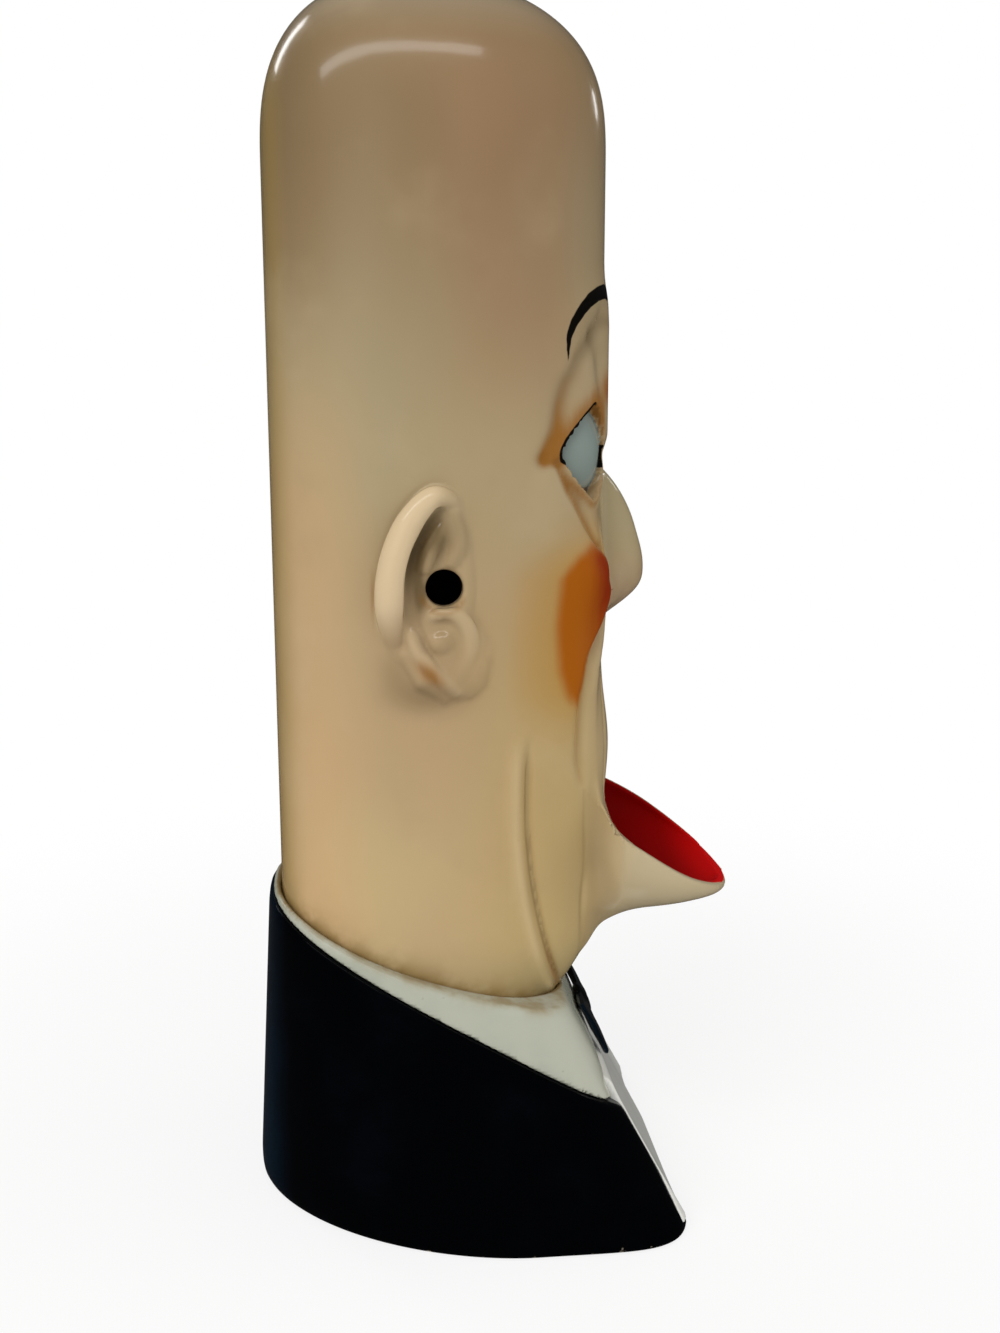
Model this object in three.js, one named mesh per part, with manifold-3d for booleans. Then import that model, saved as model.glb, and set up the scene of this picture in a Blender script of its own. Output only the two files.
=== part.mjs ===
// Porcelain figural vessel: a tall bald comic head with an open, scoop-lipped mouth and vented ears,
// on a small bust in a dark coat. It is cast hollow in several clay pieces that are luted together
// with slip before firing, so each piece here is its own solid with a thin luting gap to its neighbours.
// Millimetres, +X the way the face looks, +Y the figure's left, +Z up. The origin is the bottom centre
// of the whole vessel.
import * as THREE from "three";
import { mergeVertices } from "three/addons/utils/BufferGeometryUtils.js";
import Module from "manifold-3d";

// Clay and joints
const WALL = 3.2; // cast porcelain wall
const LIP_WALL = 2.4; // thinner wall of the scooped lip
const LUTE = 0.3; // luting gap between two pieces

// Head
const TOTAL_HEIGHT = 218; // foot to crown
const TOTAL_DEPTH = 89.8; // back of the coat to the tip of the lip
const HEAD_DEPTH = 59.5; // back of the skull to the forehead
const HEAD_WIDTH = 52; // over the temples, without the ears
const HEAD_SET_IN = 5.7; // back of the skull in from the back of the coat's foot
const HEAD_SQUARENESS = 2.5; // 2 is an oval section, more is boxier
const MUZZLE_SQUARENESS = 3.6; // front of the face at the mouth
const MUZZLE_SPREAD = 24; // height above and below the mouth over which that fades
const CROWN_RISE = 31; // height of the rounded top
const CROWN_SWEEP = 3; // how far the top of the crown leans back
const NECK_WIDTH = 50; // at the collar
const NECK_TAPER_HEIGHT = 110; // below this the head narrows towards the neck
const CHIN_HEIGHT = 48;
const THROAT_SLOPE = 0.75; // how fast the throat falls back below the chin, per mm of height
const SPIGOT_DEPTH = 5; // neck spigot that drops into the coat's throat
const SPIGOT_STEP = 1.2; // its shoulder

// Low relief of the face: heights above the foot, half-sizes and how far it stands forward
const BROW = { side: 9, height: 157, halfWidth: 8, halfHeight: 6, reach: 1.2 };
const SOCKET = { side: 10, height: 141, halfWidth: 6, halfHeight: 7, reach: -1.6 };
const CHEEK = { side: 15, height: 113, halfWidth: 7, halfHeight: 12, reach: 2.6 };
const UPPER_LIP = { side: 0, height: 86, halfWidth: 16, halfHeight: 10, reach: 1.8 };

// Mouth and scooped lip
const LIP_TIP_HEIGHT = 57.2;
const MOUTH_CORNER_HEIGHT = 73.2;
const MOUTH_WIDTH = 46; // outside of the lip at the mouth's corners
const MOUTH_ARCH = 4.5; // rise of the upper lip above the corners
const SCOOP_DEPTH = 24; // lip rim down to the chin, where the lip meets the face
const SCOOP_ROOT = 13; // how far the lip's root reaches back into the cheek
const LIP_SQUARENESS = 3; // of the rim seen from above
const JAW_SEAM_BACK = 16.2; // jaw seam behind the forehead, at the mouth's corner
const JAW_SEAM_RAKE = 5.5; // the seam comes forward by this much at its foot
const JAW_SEAM_FOOT = 45; // lower end of the jaw piece

// Nose
const NOSE_TIP_HEIGHT = 117.5;
const NOSE_REACH = 8.3; // in front of the forehead
const NOSE_WIDTH = 16;
const NOSE_BRIDGE_RISE = 19; // tip up to the bridge
const NOSE_UNDERSIDE = 8.7; // tip down to the lip

// Ears
const VENT_HEIGHT = 117.3;
const VENT_FROM_BACK = 29.5; // vent in front of the back of the skull
const VENT_BORE = 6.2;
const EAR_STAND_OFF = 5; // rim of the ear proud of the head
const EAR_RIM_RISE = 17.2; // rim above the vent
const EAR_LOBE_DROP = 18.6; // lobe below the vent
const EAR_RIM_REACH = 11.8; // rim behind the vent
const EAR_LOBE_REACH = 6.4; // lobe in front of the vent
const EAR_BOWL_DEPTH = 3.2;
const EAR_ROUNDOVER = 2;

// Bust
const BUST_DEPTH = 79.9; // at the foot
const BUST_WIDTH = 75; // at the foot
const BUST_WIDEST_FROM_BACK = 50;
const BUST_TOP_WIDTH = 56; // at the height of the coat's back edge
const BUST_BACK_TAPER = 3.4; // the coat's back leans in by this much up to its edge
const BUST_FRONT_LEAN = 27.2; // degrees, shirt front from the vertical
const COAT_BACK_HEIGHT = 58.7; // coat's edge behind the neck
const COAT_FRONT_HEIGHT = 22.7; // coat's edge at the shirt front
const COAT_DECK = 4; // clay around the throat, under the coat's edge
const FOOT_BACK_SQUARENESS = 1.8; // the back is oval at the foot and follows the head at the neck
const BUST_FRONT_SQUARENESS = 6;
const FOOT_RECESS = 1.2; // base plate above the table
const PLATE_THICKNESS = 3;
const PLATE_LEDGE = 1; // rebate that the base plate is set into
const LAPEL_EDGE = 1.8; // coat beside the shirt front

// Collar and bow tie
const COLLAR_INSET = 0.8; // white collar inside the coat's outline
const COLLAR_FRONT_INSET = 1.6; // and behind the plane of the shirt front
const COLLAR_BACK_RISE = 1.8; // collar's top above the coat's edge, behind the neck
const COLLAR_FRONT_RISE = 17.8; // and beside the chin
const COLLAR_SAG = 7.5; // the top dips by this much between them
const TIE_WIDTH = 33;
const TIE_HEIGHT = 13;
const TIE_KNOT_WIDTH = 7;
const TIE_KNOT_HEIGHT = 7.5;
const TIE_THICKNESS = 1.8;
const TIE_ROUNDOVER = 0.5;
const TIE_ABOVE_COAT = 2.4; // lower points of the bow above the coat's edge

// Facets
const HEAD_SIDES = 44;
const HEAD_STEP = 11; // between section rings
const CROWN_RINGS = 7;
const BUST_SIDES = 48;
const BUST_RINGS = 5;
const LIP_RINGS = 11;
const LIP_SIDES = 16;
const ROUND_SIDES = 24;
const NOSE_RINGS = 12;

// Places that follow from the sizes
const BACK = -TOTAL_DEPTH / 2;
const HEAD_BACK = BACK + HEAD_SET_IN;
const HEAD_FRONT = HEAD_BACK + HEAD_DEPTH;
const HEAD_AXIS = (HEAD_BACK + HEAD_FRONT) / 2;
const LIP_TIP = TOTAL_DEPTH / 2;
const LIP_REACH = LIP_TIP - HEAD_FRONT;
const LIP_ROOT = HEAD_FRONT - SCOOP_ROOT;
const RIM_SLOPE = (MOUTH_CORNER_HEIGHT - LIP_TIP_HEIGHT) / LIP_REACH;
const VENT_X = HEAD_BACK + VENT_FROM_BACK;
const CROWN_FOOT = TOTAL_HEIGHT - CROWN_RISE;
const NECK_FOOT = COAT_FRONT_HEIGHT - 3 * SPIGOT_DEPTH;
const BUST_TOP = COAT_BACK_HEIGHT + COLLAR_BACK_RISE + SPIGOT_DEPTH;
const FAR = 4 * TOTAL_HEIGHT; // bigger than the vessel, for half-spaces
const LEAN = THREE.MathUtils.degToRad(BUST_FRONT_LEAN);
const bustBack = (z) => BACK + (BUST_BACK_TAPER * z) / COAT_BACK_HEIGHT;
const bustFront = (z) => BACK + BUST_DEPTH - Math.tan(LEAN) * z;
const COAT_EDGE_BACK = bustBack(COAT_BACK_HEIGHT);
const COAT_EDGE_FRONT = bustFront(COAT_FRONT_HEIGHT);
const COAT_EDGE_SLOPE = (COAT_BACK_HEIGHT - COAT_FRONT_HEIGHT) / (COAT_EDGE_FRONT - COAT_EDGE_BACK);
const coatEdge = (x) => COAT_BACK_HEIGHT - COAT_EDGE_SLOPE * (x - COAT_EDGE_BACK);
const LUTE_RISE = LUTE * Math.hypot(1, COAT_EDGE_SLOPE); // the gap measured straight up

const wasm = await Module();
wasm.setup();

// A closed geometry as a solid for cutting and joining.
function solidOf(geometry) {
  const bare = new THREE.BufferGeometry();
  bare.setAttribute("position", geometry.getAttribute("position"));
  if (geometry.index) bare.setIndex(geometry.index);
  const merged = mergeVertices(bare, 1e-4);
  return new wasm.Manifold(
    new wasm.Mesh({
      numProp: 3,
      vertProperties: new Float32Array(merged.attributes.position.array),
      triVerts: new Uint32Array(merged.index.array),
    }),
  );
}

// A solid as a geometry again.
function geometryOf(solid) {
  const mesh = solid.getMesh();
  const geometry = new THREE.BufferGeometry();
  geometry.setAttribute("position", new THREE.BufferAttribute(mesh.vertProperties, 3));
  geometry.setIndex(new THREE.BufferAttribute(mesh.triVerts, 1));
  geometry.computeVertexNormals();
  return geometry;
}

// A closed skin over rings of points that turn anticlockwise seen from the last ring.
function loft(rings) {
  const sides = rings[0].length;
  const points = rings.flat();
  const faces = [];
  for (let r = 0; r + 1 < rings.length; r++) {
    for (let i = 0; i < sides; i++) {
      const a = r * sides + i;
      const b = r * sides + ((i + 1) % sides);
      faces.push(a, b, b + sides, a, b + sides, a + sides);
    }
  }
  const lastRing = (rings.length - 1) * sides;
  for (const ring of [rings[0], rings[rings.length - 1]]) {
    points.push(ring.reduce((sum, p) => sum.add(p), new THREE.Vector3()).divideScalar(sides));
  }
  for (let i = 0; i < sides; i++) {
    const next = (i + 1) % sides;
    faces.push(points.length - 2, next, i);
    faces.push(points.length - 1, lastRing + i, lastRing + next);
  }
  const geometry = new THREE.BufferGeometry().setFromPoints(points);
  geometry.setIndex(faces);
  return solidOf(geometry);
}

// Everything behind a plane, as a large block whose face lies on it.
function behindPlane(x, z, outwardX, outwardZ) {
  const block = new THREE.BoxGeometry(FAR, FAR, FAR).translate(0, 0, -FAR / 2);
  block.rotateY(Math.atan2(outwardX, outwardZ));
  block.translate(x, 0, z);
  return solidOf(block);
}

// A side outline carried right across the vessel.
function acrossVessel(outline, curveSegments) {
  const block = new THREE.ExtrudeGeometry(outline, { depth: FAR, bevelEnabled: false, curveSegments });
  block.translate(0, 0, -FAR / 2).rotateX(Math.PI / 2);
  return solidOf(block);
}

const signedPower = (value, power) => Math.sign(value) * Math.abs(value) ** power;

// How far a low swelling, one on each side of the face, stands forward.
function swelling(form, y, z) {
  const across = (Math.abs(y) - form.side) / form.halfWidth;
  const up = (z - form.height) / form.halfHeight;
  return form.reach * Math.exp(-(across ** 2) - up ** 2);
}

const faceRelief = (y, z) =>
  [BROW, SOCKET, CHEEK, UPPER_LIP].reduce((sum, form) => sum + swelling(form, y, z), 0);

function headHalfWidth(z) {
  const fall = (NECK_TAPER_HEIGHT - z) / (NECK_TAPER_HEIGHT - CHIN_HEIGHT);
  return THREE.MathUtils.lerp(HEAD_WIDTH, NECK_WIDTH, THREE.MathUtils.clamp(fall, 0, 1)) / 2;
}

const headFront = (z) => HEAD_FRONT - THROAT_SLOPE * Math.max(0, CHIN_HEIGHT - z);

// One level section of the head, grown outwards by some clay or, if negative, shrunk.
function headRing(z, share, grow) {
  const middle = (HEAD_BACK + headFront(z)) / 2;
  const halfDepth = share * ((headFront(z) - HEAD_BACK) / 2 + grow);
  const halfWidth = share * (headHalfWidth(z) + grow);
  const sweep = CROWN_SWEEP * (Math.max(0, z - CROWN_FOOT) / CROWN_RISE) ** 4;
  const muzzle = Math.exp(-(((z - MOUTH_CORNER_HEIGHT) / MUZZLE_SPREAD) ** 2));
  const ring = [];
  for (let i = 0; i < HEAD_SIDES; i++) {
    const angle = (2 * Math.PI * i) / HEAD_SIDES;
    const ahead = Math.cos(angle) > 0;
    const power = 2 / THREE.MathUtils.lerp(HEAD_SQUARENESS, MUZZLE_SQUARENESS, ahead ? muzzle : 0);
    const x = middle - sweep + halfDepth * signedPower(Math.cos(angle), power);
    const y = halfWidth * signedPower(Math.sin(angle), power);
    const frontness = THREE.MathUtils.smoothstep(Math.cos(angle), 0, 0.5);
    ring.push(new THREE.Vector3(x + frontness * faceRelief(y, z), y, z));
  }
  return ring;
}

// The whole head as a full block, down into the bust.
function headBlock(grow) {
  const steps = Math.ceil((CROWN_FOOT - NECK_FOOT) / HEAD_STEP);
  const rings = [];
  for (let i = 0; i <= steps; i++) {
    rings.push(headRing(THREE.MathUtils.lerp(NECK_FOOT, CROWN_FOOT, i / steps), 1, grow));
  }
  for (let i = 1; i <= CROWN_RINGS; i++) {
    const rise = Math.sin((Math.PI * i) / (2 * CROWN_RINGS + 0.5));
    const share = Math.sqrt(1 - rise ** 3);
    rings.push(headRing(CROWN_FOOT + (CROWN_RISE + grow) * rise, share, grow));
  }
  return loft(rings);
}

// Everything under the coat's edge, or under a level the given height above it.
const belowCoatEdge = (rise) =>
  behindPlane(COAT_EDGE_BACK, COAT_BACK_HEIGHT + rise, COAT_EDGE_SLOPE, 1);

// Side outline of the jaw piece, grown by the luting gap where it is taken out of the head.
function jawBlock(grow) {
  const seamTop = HEAD_FRONT - JAW_SEAM_BACK - grow;
  const seamFoot = seamTop + JAW_SEAM_RAKE;
  const top = MOUTH_CORNER_HEIGHT + grow;
  const foot = JAW_SEAM_FOOT - grow;
  const outline = new THREE.Shape();
  outline.moveTo(LIP_TIP + LIP_REACH, top);
  outline.lineTo(seamTop, top);
  outline.quadraticCurveTo(seamTop, (top + foot) / 2, seamFoot, foot);
  outline.lineTo(LIP_TIP + LIP_REACH, foot);
  return acrossVessel(outline, 6);
}

// The scooped lip as a full block: half-oval sections hang from the sloping rim and close at the tip.
function lipBlock(inset, lift) {
  const tip = LIP_TIP - inset;
  const rings = [];
  for (let i = 0; i < LIP_RINGS; i++) {
    const x = THREE.MathUtils.lerp(LIP_ROOT, tip, Math.sin((Math.PI * i) / (2 * LIP_RINGS - 1.4)));
    const out = Math.max(0, x - HEAD_FRONT);
    const share = out / (tip - HEAD_FRONT);
    const rim = MOUTH_CORNER_HEIGHT - RIM_SLOPE * out;
    const halfWidth = (MOUTH_WIDTH / 2 - inset) * (1 - share ** LIP_SQUARENESS) ** (1 / LIP_SQUARENESS);
    const depth = (SCOOP_DEPTH - inset) * (1 - share) ** 0.8;
    const ring = [];
    for (let k = 0; k <= LIP_SIDES; k++) {
      const angle = Math.PI * (1 + k / LIP_SIDES);
      const down = depth * signedPower(Math.sin(angle), 0.8);
      ring.push(new THREE.Vector3(x, halfWidth * Math.cos(angle), rim + down));
    }
    if (lift > 0) {
      ring.push(new THREE.Vector3(x, halfWidth, rim + lift));
      ring.push(new THREE.Vector3(x, -halfWidth, rim + lift));
    }
    rings.push(ring);
  }
  return loft(rings);
}

// The mouth's passage through the face into the hollow head.
function mouthPassage() {
  const halfWidth = MOUTH_WIDTH / 2 - LIP_WALL;
  const floor = SCOOP_DEPTH - 2 * LIP_WALL;
  const outline = new THREE.Shape();
  outline.absellipse(0, MOUTH_CORNER_HEIGHT, halfWidth, MOUTH_ARCH, 0, Math.PI, false, 0);
  outline.absellipse(0, MOUTH_CORNER_HEIGHT, halfWidth, floor, Math.PI, 2 * Math.PI, false, 0);
  const passage = new THREE.ExtrudeGeometry(outline, {
    depth: HEAD_FRONT + LIP_WALL - HEAD_AXIS,
    bevelEnabled: false,
    curveSegments: ROUND_SIDES / 2,
  });
  passage.rotateX(Math.PI / 2).rotateZ(Math.PI / 2).translate(HEAD_AXIS, 0, 0);
  return solidOf(passage);
}

function ventBores() {
  const bore = new THREE.CylinderGeometry(VENT_BORE / 2, VENT_BORE / 2, FAR, ROUND_SIDES);
  return solidOf(bore.translate(VENT_X, 0, VENT_HEIGHT));
}

// An ear pad: a leaf outline with a rounded rim and a hollowed bowl. Side is -1 right, +1 left.
function earPad(side) {
  const leaf = new THREE.Shape();
  const up = EAR_RIM_RISE;
  const down = EAR_LOBE_DROP;
  const behind = EAR_RIM_REACH;
  const ahead = EAR_LOBE_REACH;
  leaf.moveTo(0, up);
  leaf.bezierCurveTo(-behind * 0.6, up, -behind, up * 0.5, -behind, 0);
  leaf.bezierCurveTo(-behind, -down * 0.5, -behind * 0.2, -down, ahead * 0.3, -down);
  leaf.bezierCurveTo(ahead, -down, ahead * 1.1, -down * 0.4, ahead * 0.8, 0);
  leaf.bezierCurveTo(ahead * 0.7, up * 0.5, ahead * 0.6, up, 0, up);
  const depth = HEAD_WIDTH / 2;
  const face = HEAD_WIDTH / 2 + EAR_STAND_OFF;
  const pad = new THREE.ExtrudeGeometry(leaf, {
    depth,
    bevelThickness: EAR_ROUNDOVER,
    bevelSize: EAR_ROUNDOVER,
    bevelOffset: -EAR_ROUNDOVER,
    bevelSegments: 3,
    curveSegments: 6,
  });
  pad.translate(0, 0, -depth / 2).rotateX(Math.PI / 2);
  pad.translate(VENT_X, side * (face - EAR_ROUNDOVER - depth / 2), VENT_HEIGHT);
  const bowl = new THREE.SphereGeometry(1, ROUND_SIDES, ROUND_SIDES / 2);
  bowl.scale(behind * 0.55, EAR_BOWL_DEPTH, up * 0.72);
  bowl.translate(VENT_X - behind * 0.2, side * face, VENT_HEIGHT + up * 0.12);
  return solidOf(pad).subtract(solidOf(bowl));
}

// A ball-tipped nose, drawn up to a narrow bridge.
function noseBlock() {
  const rings = [];
  for (let i = 0; i < NOSE_RINGS; i++) {
    const height = -Math.cos((Math.PI * (i + 0.3)) / (NOSE_RINGS - 0.4));
    const above = height > 0;
    const share = Math.sqrt(1 - height ** 2) ** (above ? 1.5 : 1);
    const z = NOSE_TIP_HEIGHT + height * (above ? NOSE_BRIDGE_RISE : NOSE_UNDERSIDE);
    const ring = [];
    for (let k = 0; k < ROUND_SIDES; k++) {
      const angle = (2 * Math.PI * k) / ROUND_SIDES;
      const x = HEAD_FRONT - WALL + (WALL + NOSE_REACH) * share * Math.cos(angle);
      ring.push(new THREE.Vector3(x, (NOSE_WIDTH / 2) * share * Math.sin(angle), z));
    }
    rings.push(ring);
  }
  return loft(rings);
}

// One level section of the bust: rounded behind, nearly square in front.
function bustRing(z, inset, frontInset) {
  const back = bustBack(z) + inset;
  const front = bustFront(z) - frontInset / Math.cos(LEAN);
  const widest = THREE.MathUtils.lerp(back, front, BUST_WIDEST_FROM_BACK / BUST_DEPTH);
  const halfWidth = THREE.MathUtils.lerp(BUST_WIDTH, BUST_TOP_WIDTH, z / COAT_BACK_HEIGHT) / 2 - inset;
  const backSquareness = THREE.MathUtils.lerp(FOOT_BACK_SQUARENESS, HEAD_SQUARENESS, z / COAT_BACK_HEIGHT);
  const ring = [];
  for (let i = 0; i < BUST_SIDES; i++) {
    const angle = (2 * Math.PI * (i + 0.5)) / BUST_SIDES;
    const ahead = Math.cos(angle) > 0;
    const power = 2 / (ahead ? BUST_FRONT_SQUARENESS : backSquareness);
    const reach = ahead ? front - widest : widest - back;
    const x = widest + reach * signedPower(Math.cos(angle), power);
    ring.push(new THREE.Vector3(x, halfWidth * signedPower(Math.sin(angle), power), z));
  }
  return ring;
}

// The bust as a full block between two heights, shrunk by some clay, in front by its own amount.
function bustBlock(foot, top, inset, frontInset = inset) {
  const rings = [];
  for (let i = 0; i < BUST_RINGS; i++) {
    rings.push(bustRing(THREE.MathUtils.lerp(foot, top, i / (BUST_RINGS - 1)), inset, frontInset));
  }
  return loft(rings);
}

// Everything behind the shirt front, set back by some clay.
const behindShirt = (inset) =>
  behindPlane(bustFront(0) - inset / Math.cos(LEAN), 0, Math.cos(LEAN), Math.sin(LEAN));

// Side outline of the white collar: the coat's edge below, a dipping curve above.
function collarBand() {
  const back = COAT_EDGE_BACK;
  const front = COAT_EDGE_FRONT;
  const backTop = COAT_BACK_HEIGHT + COLLAR_BACK_RISE;
  const frontTop = COAT_FRONT_HEIGHT + COLLAR_FRONT_RISE;
  const outline = new THREE.Shape();
  outline.moveTo(2 * back, coatEdge(2 * back) + LUTE_RISE);
  outline.lineTo(2 * front, coatEdge(2 * front) + LUTE_RISE);
  outline.lineTo(2 * front, frontTop);
  outline.lineTo(front, frontTop);
  outline.quadraticCurveTo((back + front) / 2, (backTop + frontTop) / 2 - COLLAR_SAG, back, backTop);
  outline.lineTo(2 * back, coatEdge(2 * back) + LUTE_RISE + COLLAR_BACK_RISE);
  return acrossVessel(outline, 10);
}

// The bow tie, flat on the front of the collar.
function bowTie() {
  const halfWidth = TIE_WIDTH / 2;
  const halfHeight = TIE_HEIGHT / 2;
  const knot = TIE_KNOT_WIDTH / 2;
  const waist = TIE_KNOT_HEIGHT / 2;
  const bow = new THREE.Shape();
  bow.moveTo(knot, waist);
  bow.quadraticCurveTo(halfWidth * 0.6, halfHeight * 0.7, halfWidth, halfHeight);
  bow.quadraticCurveTo(halfWidth * 0.9, 0, halfWidth, -halfHeight);
  bow.quadraticCurveTo(halfWidth * 0.6, -halfHeight * 0.7, knot, -waist);
  bow.lineTo(-knot, -waist);
  bow.quadraticCurveTo(-halfWidth * 0.6, -halfHeight * 0.7, -halfWidth, -halfHeight);
  bow.quadraticCurveTo(-halfWidth * 0.9, 0, -halfWidth, halfHeight);
  bow.quadraticCurveTo(-halfWidth * 0.6, halfHeight * 0.7, -knot, waist);
  const slab = new THREE.ExtrudeGeometry(bow, {
    depth: TIE_THICKNESS - 2 * TIE_ROUNDOVER,
    bevelThickness: TIE_ROUNDOVER,
    bevelSize: TIE_ROUNDOVER,
    bevelOffset: -TIE_ROUNDOVER,
    bevelSegments: 2,
    curveSegments: 5,
  });
  const z = COAT_FRONT_HEIGHT + TIE_ABOVE_COAT + halfHeight * Math.cos(LEAN);
  slab.translate(0, 0, TIE_ROUNDOVER + LUTE - COLLAR_FRONT_INSET);
  slab.rotateX(Math.PI / 2).rotateZ(Math.PI / 2).rotateY(-LEAN);
  return solidOf(slab.translate(bustFront(z), 0, z));
}

const head = headBlock(0);
const headSeat = headBlock(LUTE);
const headHollow = headBlock(-WALL);
const spigot = headBlock(-SPIGOT_STEP);
const spigotSeat = headBlock(LUTE - SPIGOT_STEP);
const passage = mouthPassage();
const vents = ventBores();

const neckShoulder = belowCoatEdge(LUTE_RISE);
const headCasting = head
  .subtract(neckShoulder)
  .add(spigot.intersect(belowCoatEdge(SPIGOT_DEPTH)).subtract(belowCoatEdge(-SPIGOT_DEPTH)))
  .subtract(headHollow)
  .subtract(jawBlock(LUTE))
  .subtract(passage)
  .subtract(vents);

const jawScoop = head
  .subtract(neckShoulder)
  .add(lipBlock(0, 0))
  .intersect(jawBlock(0))
  .subtract(headHollow)
  .subtract(lipBlock(LIP_WALL, LIP_WALL))
  .subtract(passage);

const bust = bustBlock(0, BUST_TOP, 0).intersect(belowCoatEdge(0));
const bustHollow = bustBlock(-WALL, BUST_TOP, WALL).intersect(belowCoatEdge(-COAT_DECK));
const plateTop = FOOT_RECESS + PLATE_THICKNESS;
const rebate = bustBlock(-WALL, plateTop + LUTE, WALL - PLATE_LEDGE);
const bustShell = bust.subtract(bustHollow).subtract(rebate).subtract(spigotSeat);
const shirtSeat = bustBlock(-WALL, BUST_TOP, LAPEL_EDGE - LUTE, -LUTE).subtract(behindShirt(WALL + LUTE));
const coatCasting = bustShell.subtract(shirtSeat);
const shirtFront = bustBlock(-WALL, BUST_TOP, LAPEL_EDGE, 0).intersect(bustShell).subtract(behindShirt(WALL));
const basePlate = bustBlock(FOOT_RECESS, plateTop, WALL - PLATE_LEDGE + LUTE);

const collar = bustBlock(NECK_FOOT, BUST_TOP, COLLAR_INSET, COLLAR_FRONT_INSET)
  .intersect(collarBand())
  .subtract(headSeat);

const flesh = new THREE.MeshStandardMaterial({ name: "flesh_glaze", color: 0xb59a6c, roughness: 0.25 });
const white = new THREE.MeshStandardMaterial({ name: "white_glaze", color: 0xc9c9ba, roughness: 0.25 });
const dark = new THREE.MeshStandardMaterial({ name: "dark_glaze", color: 0x0b1420, roughness: 0.2 });
const bisque = new THREE.MeshStandardMaterial({ name: "bare_clay", color: 0xcfc4ae, roughness: 0.8 });

const vessel = new THREE.Group();
vessel.name = "figural_vessel";

function place(name, geometry, material) {
  const mesh = new THREE.Mesh(geometry, material);
  mesh.name = name;
  vessel.add(mesh);
}

place("head_casting", geometryOf(headCasting), flesh);
place("jaw_scoop", geometryOf(jawScoop), flesh);
place("nose", geometryOf(noseBlock().subtract(headSeat)), flesh);
place("ear_right", geometryOf(earPad(-1).subtract(headSeat).subtract(vents)), flesh);
place("ear_left", geometryOf(earPad(1).subtract(headSeat).subtract(vents)), flesh);
place("collar", geometryOf(collar), white);
place("coat_casting", geometryOf(coatCasting), dark);
place("shirt_front", geometryOf(shirtFront), white);
place("bow_tie", geometryOf(bowTie().subtract(belowCoatEdge(LUTE_RISE))), dark);
place("base_plate", geometryOf(basePlate), bisque);

export default vessel;
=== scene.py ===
"""Porcelain figural vessel: sculpted head pieces, dressed bust and a plain stage.

The head is sculpted as one distance field, so that glaze runs over the luted seams without a step, and each
piece is then cut out of it as its own closed mesh. Sculpting lengths are millimetres, Blender's are metres.
+X is the way the face looks, +Y the figure's left and +Z up.
"""

import math

import bpy
import numpy as np
from bpy.props import FloatProperty, FloatVectorProperty, PointerProperty
from mathutils import Matrix, Quaternion, Vector


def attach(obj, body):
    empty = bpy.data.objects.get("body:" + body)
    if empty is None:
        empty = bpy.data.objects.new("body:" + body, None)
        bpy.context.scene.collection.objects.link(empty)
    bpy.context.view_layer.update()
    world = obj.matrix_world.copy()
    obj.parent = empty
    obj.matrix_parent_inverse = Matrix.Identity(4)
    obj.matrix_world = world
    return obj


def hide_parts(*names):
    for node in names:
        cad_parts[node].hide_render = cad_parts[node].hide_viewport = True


bl_info = {
    "name": "Porcelain Figural Vessel",
    "version": (1, 0, 0),
    "blender": (4, 5, 0),
    "location": "View3D > Sidebar > Vessel",
    "description": "Builds a glazed porcelain head vessel on a dressed bust, piece by piece",
    "category": "Add Mesh",
}

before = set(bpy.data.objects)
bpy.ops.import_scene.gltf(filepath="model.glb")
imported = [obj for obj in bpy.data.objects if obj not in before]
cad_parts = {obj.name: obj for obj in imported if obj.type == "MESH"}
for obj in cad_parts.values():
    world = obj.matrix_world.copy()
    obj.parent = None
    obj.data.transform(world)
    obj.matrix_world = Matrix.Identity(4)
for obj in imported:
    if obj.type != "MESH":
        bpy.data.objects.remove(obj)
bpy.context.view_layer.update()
MM = 0.001

# Painted and modelled lines of the face, as distance round the head from its middle and height
BROW_LINE = ((7.5, 165.6), (11.6, 166.4), (15.5, 165.7), (18.6, 164.5), (20.9, 162.8), (22.9, 160.7),
             (24.1, 158.4), (24.3, 156.2), (24.0, 153.6))
CREASE_LINE = ((9.0, 161.6), (13.0, 161.2), (17.0, 158.8), (18.6, 157.0), (21.3, 154.8), (23.0, 152.6),
               (24.4, 150.2), (25.5, 147.0), (26.5, 142.5), (28.6, 138.2))
INNER_CREASE = ((17.0, 158.8), (15.9, 156.6), (14.9, 153.6), (14.3, 150.6))
BAG_LINE = ((25.6, 137.4), (23.1, 133.1), (20.4, 129.9), (17.7, 126.3), (15.6, 123.4), (12.5, 121.8))
FOLD_LINE = ((11.0, 112.5), (14.4, 107.4), (18.6, 103.2), (20.8, 97.4), (21.7, 92.0), (22.3, 86.6),
             (22.0, 82.0))
PLEAT_LINE = ((11.3, 98.0), (12.4, 90.0), (13.4, 80.0), (14.3, 73.0))

# Half thickness of the brow's brush stroke at shares of its length
BROW_STROKE = ((0.0, 0.08, 0.35, 0.55, 0.72, 0.86, 1.0), (0.5, 1.25, 1.2, 0.95, 0.66, 0.36, 0.08))

# Limits of the cheek colour: its back and front edges at heights, and its top at distances round the head
ROUGE_BACK = ((93.0, 97.0, 102.0, 110.0, 118.0, 122.0, 125.5), (22.4, 24.6, 26.2, 26.6, 25.6, 22.5, 18.0))
ROUGE_FRONT = ((90.0, 97.4, 103.2, 107.4, 112.5), (21.6, 20.6, 18.4, 14.2, 8.0))
ROUGE_TOP = ((6.0, 10.0, 14.0, 18.0, 24.0), (112.0, 117.5, 121.5, 123.5, 122.0))

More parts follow.
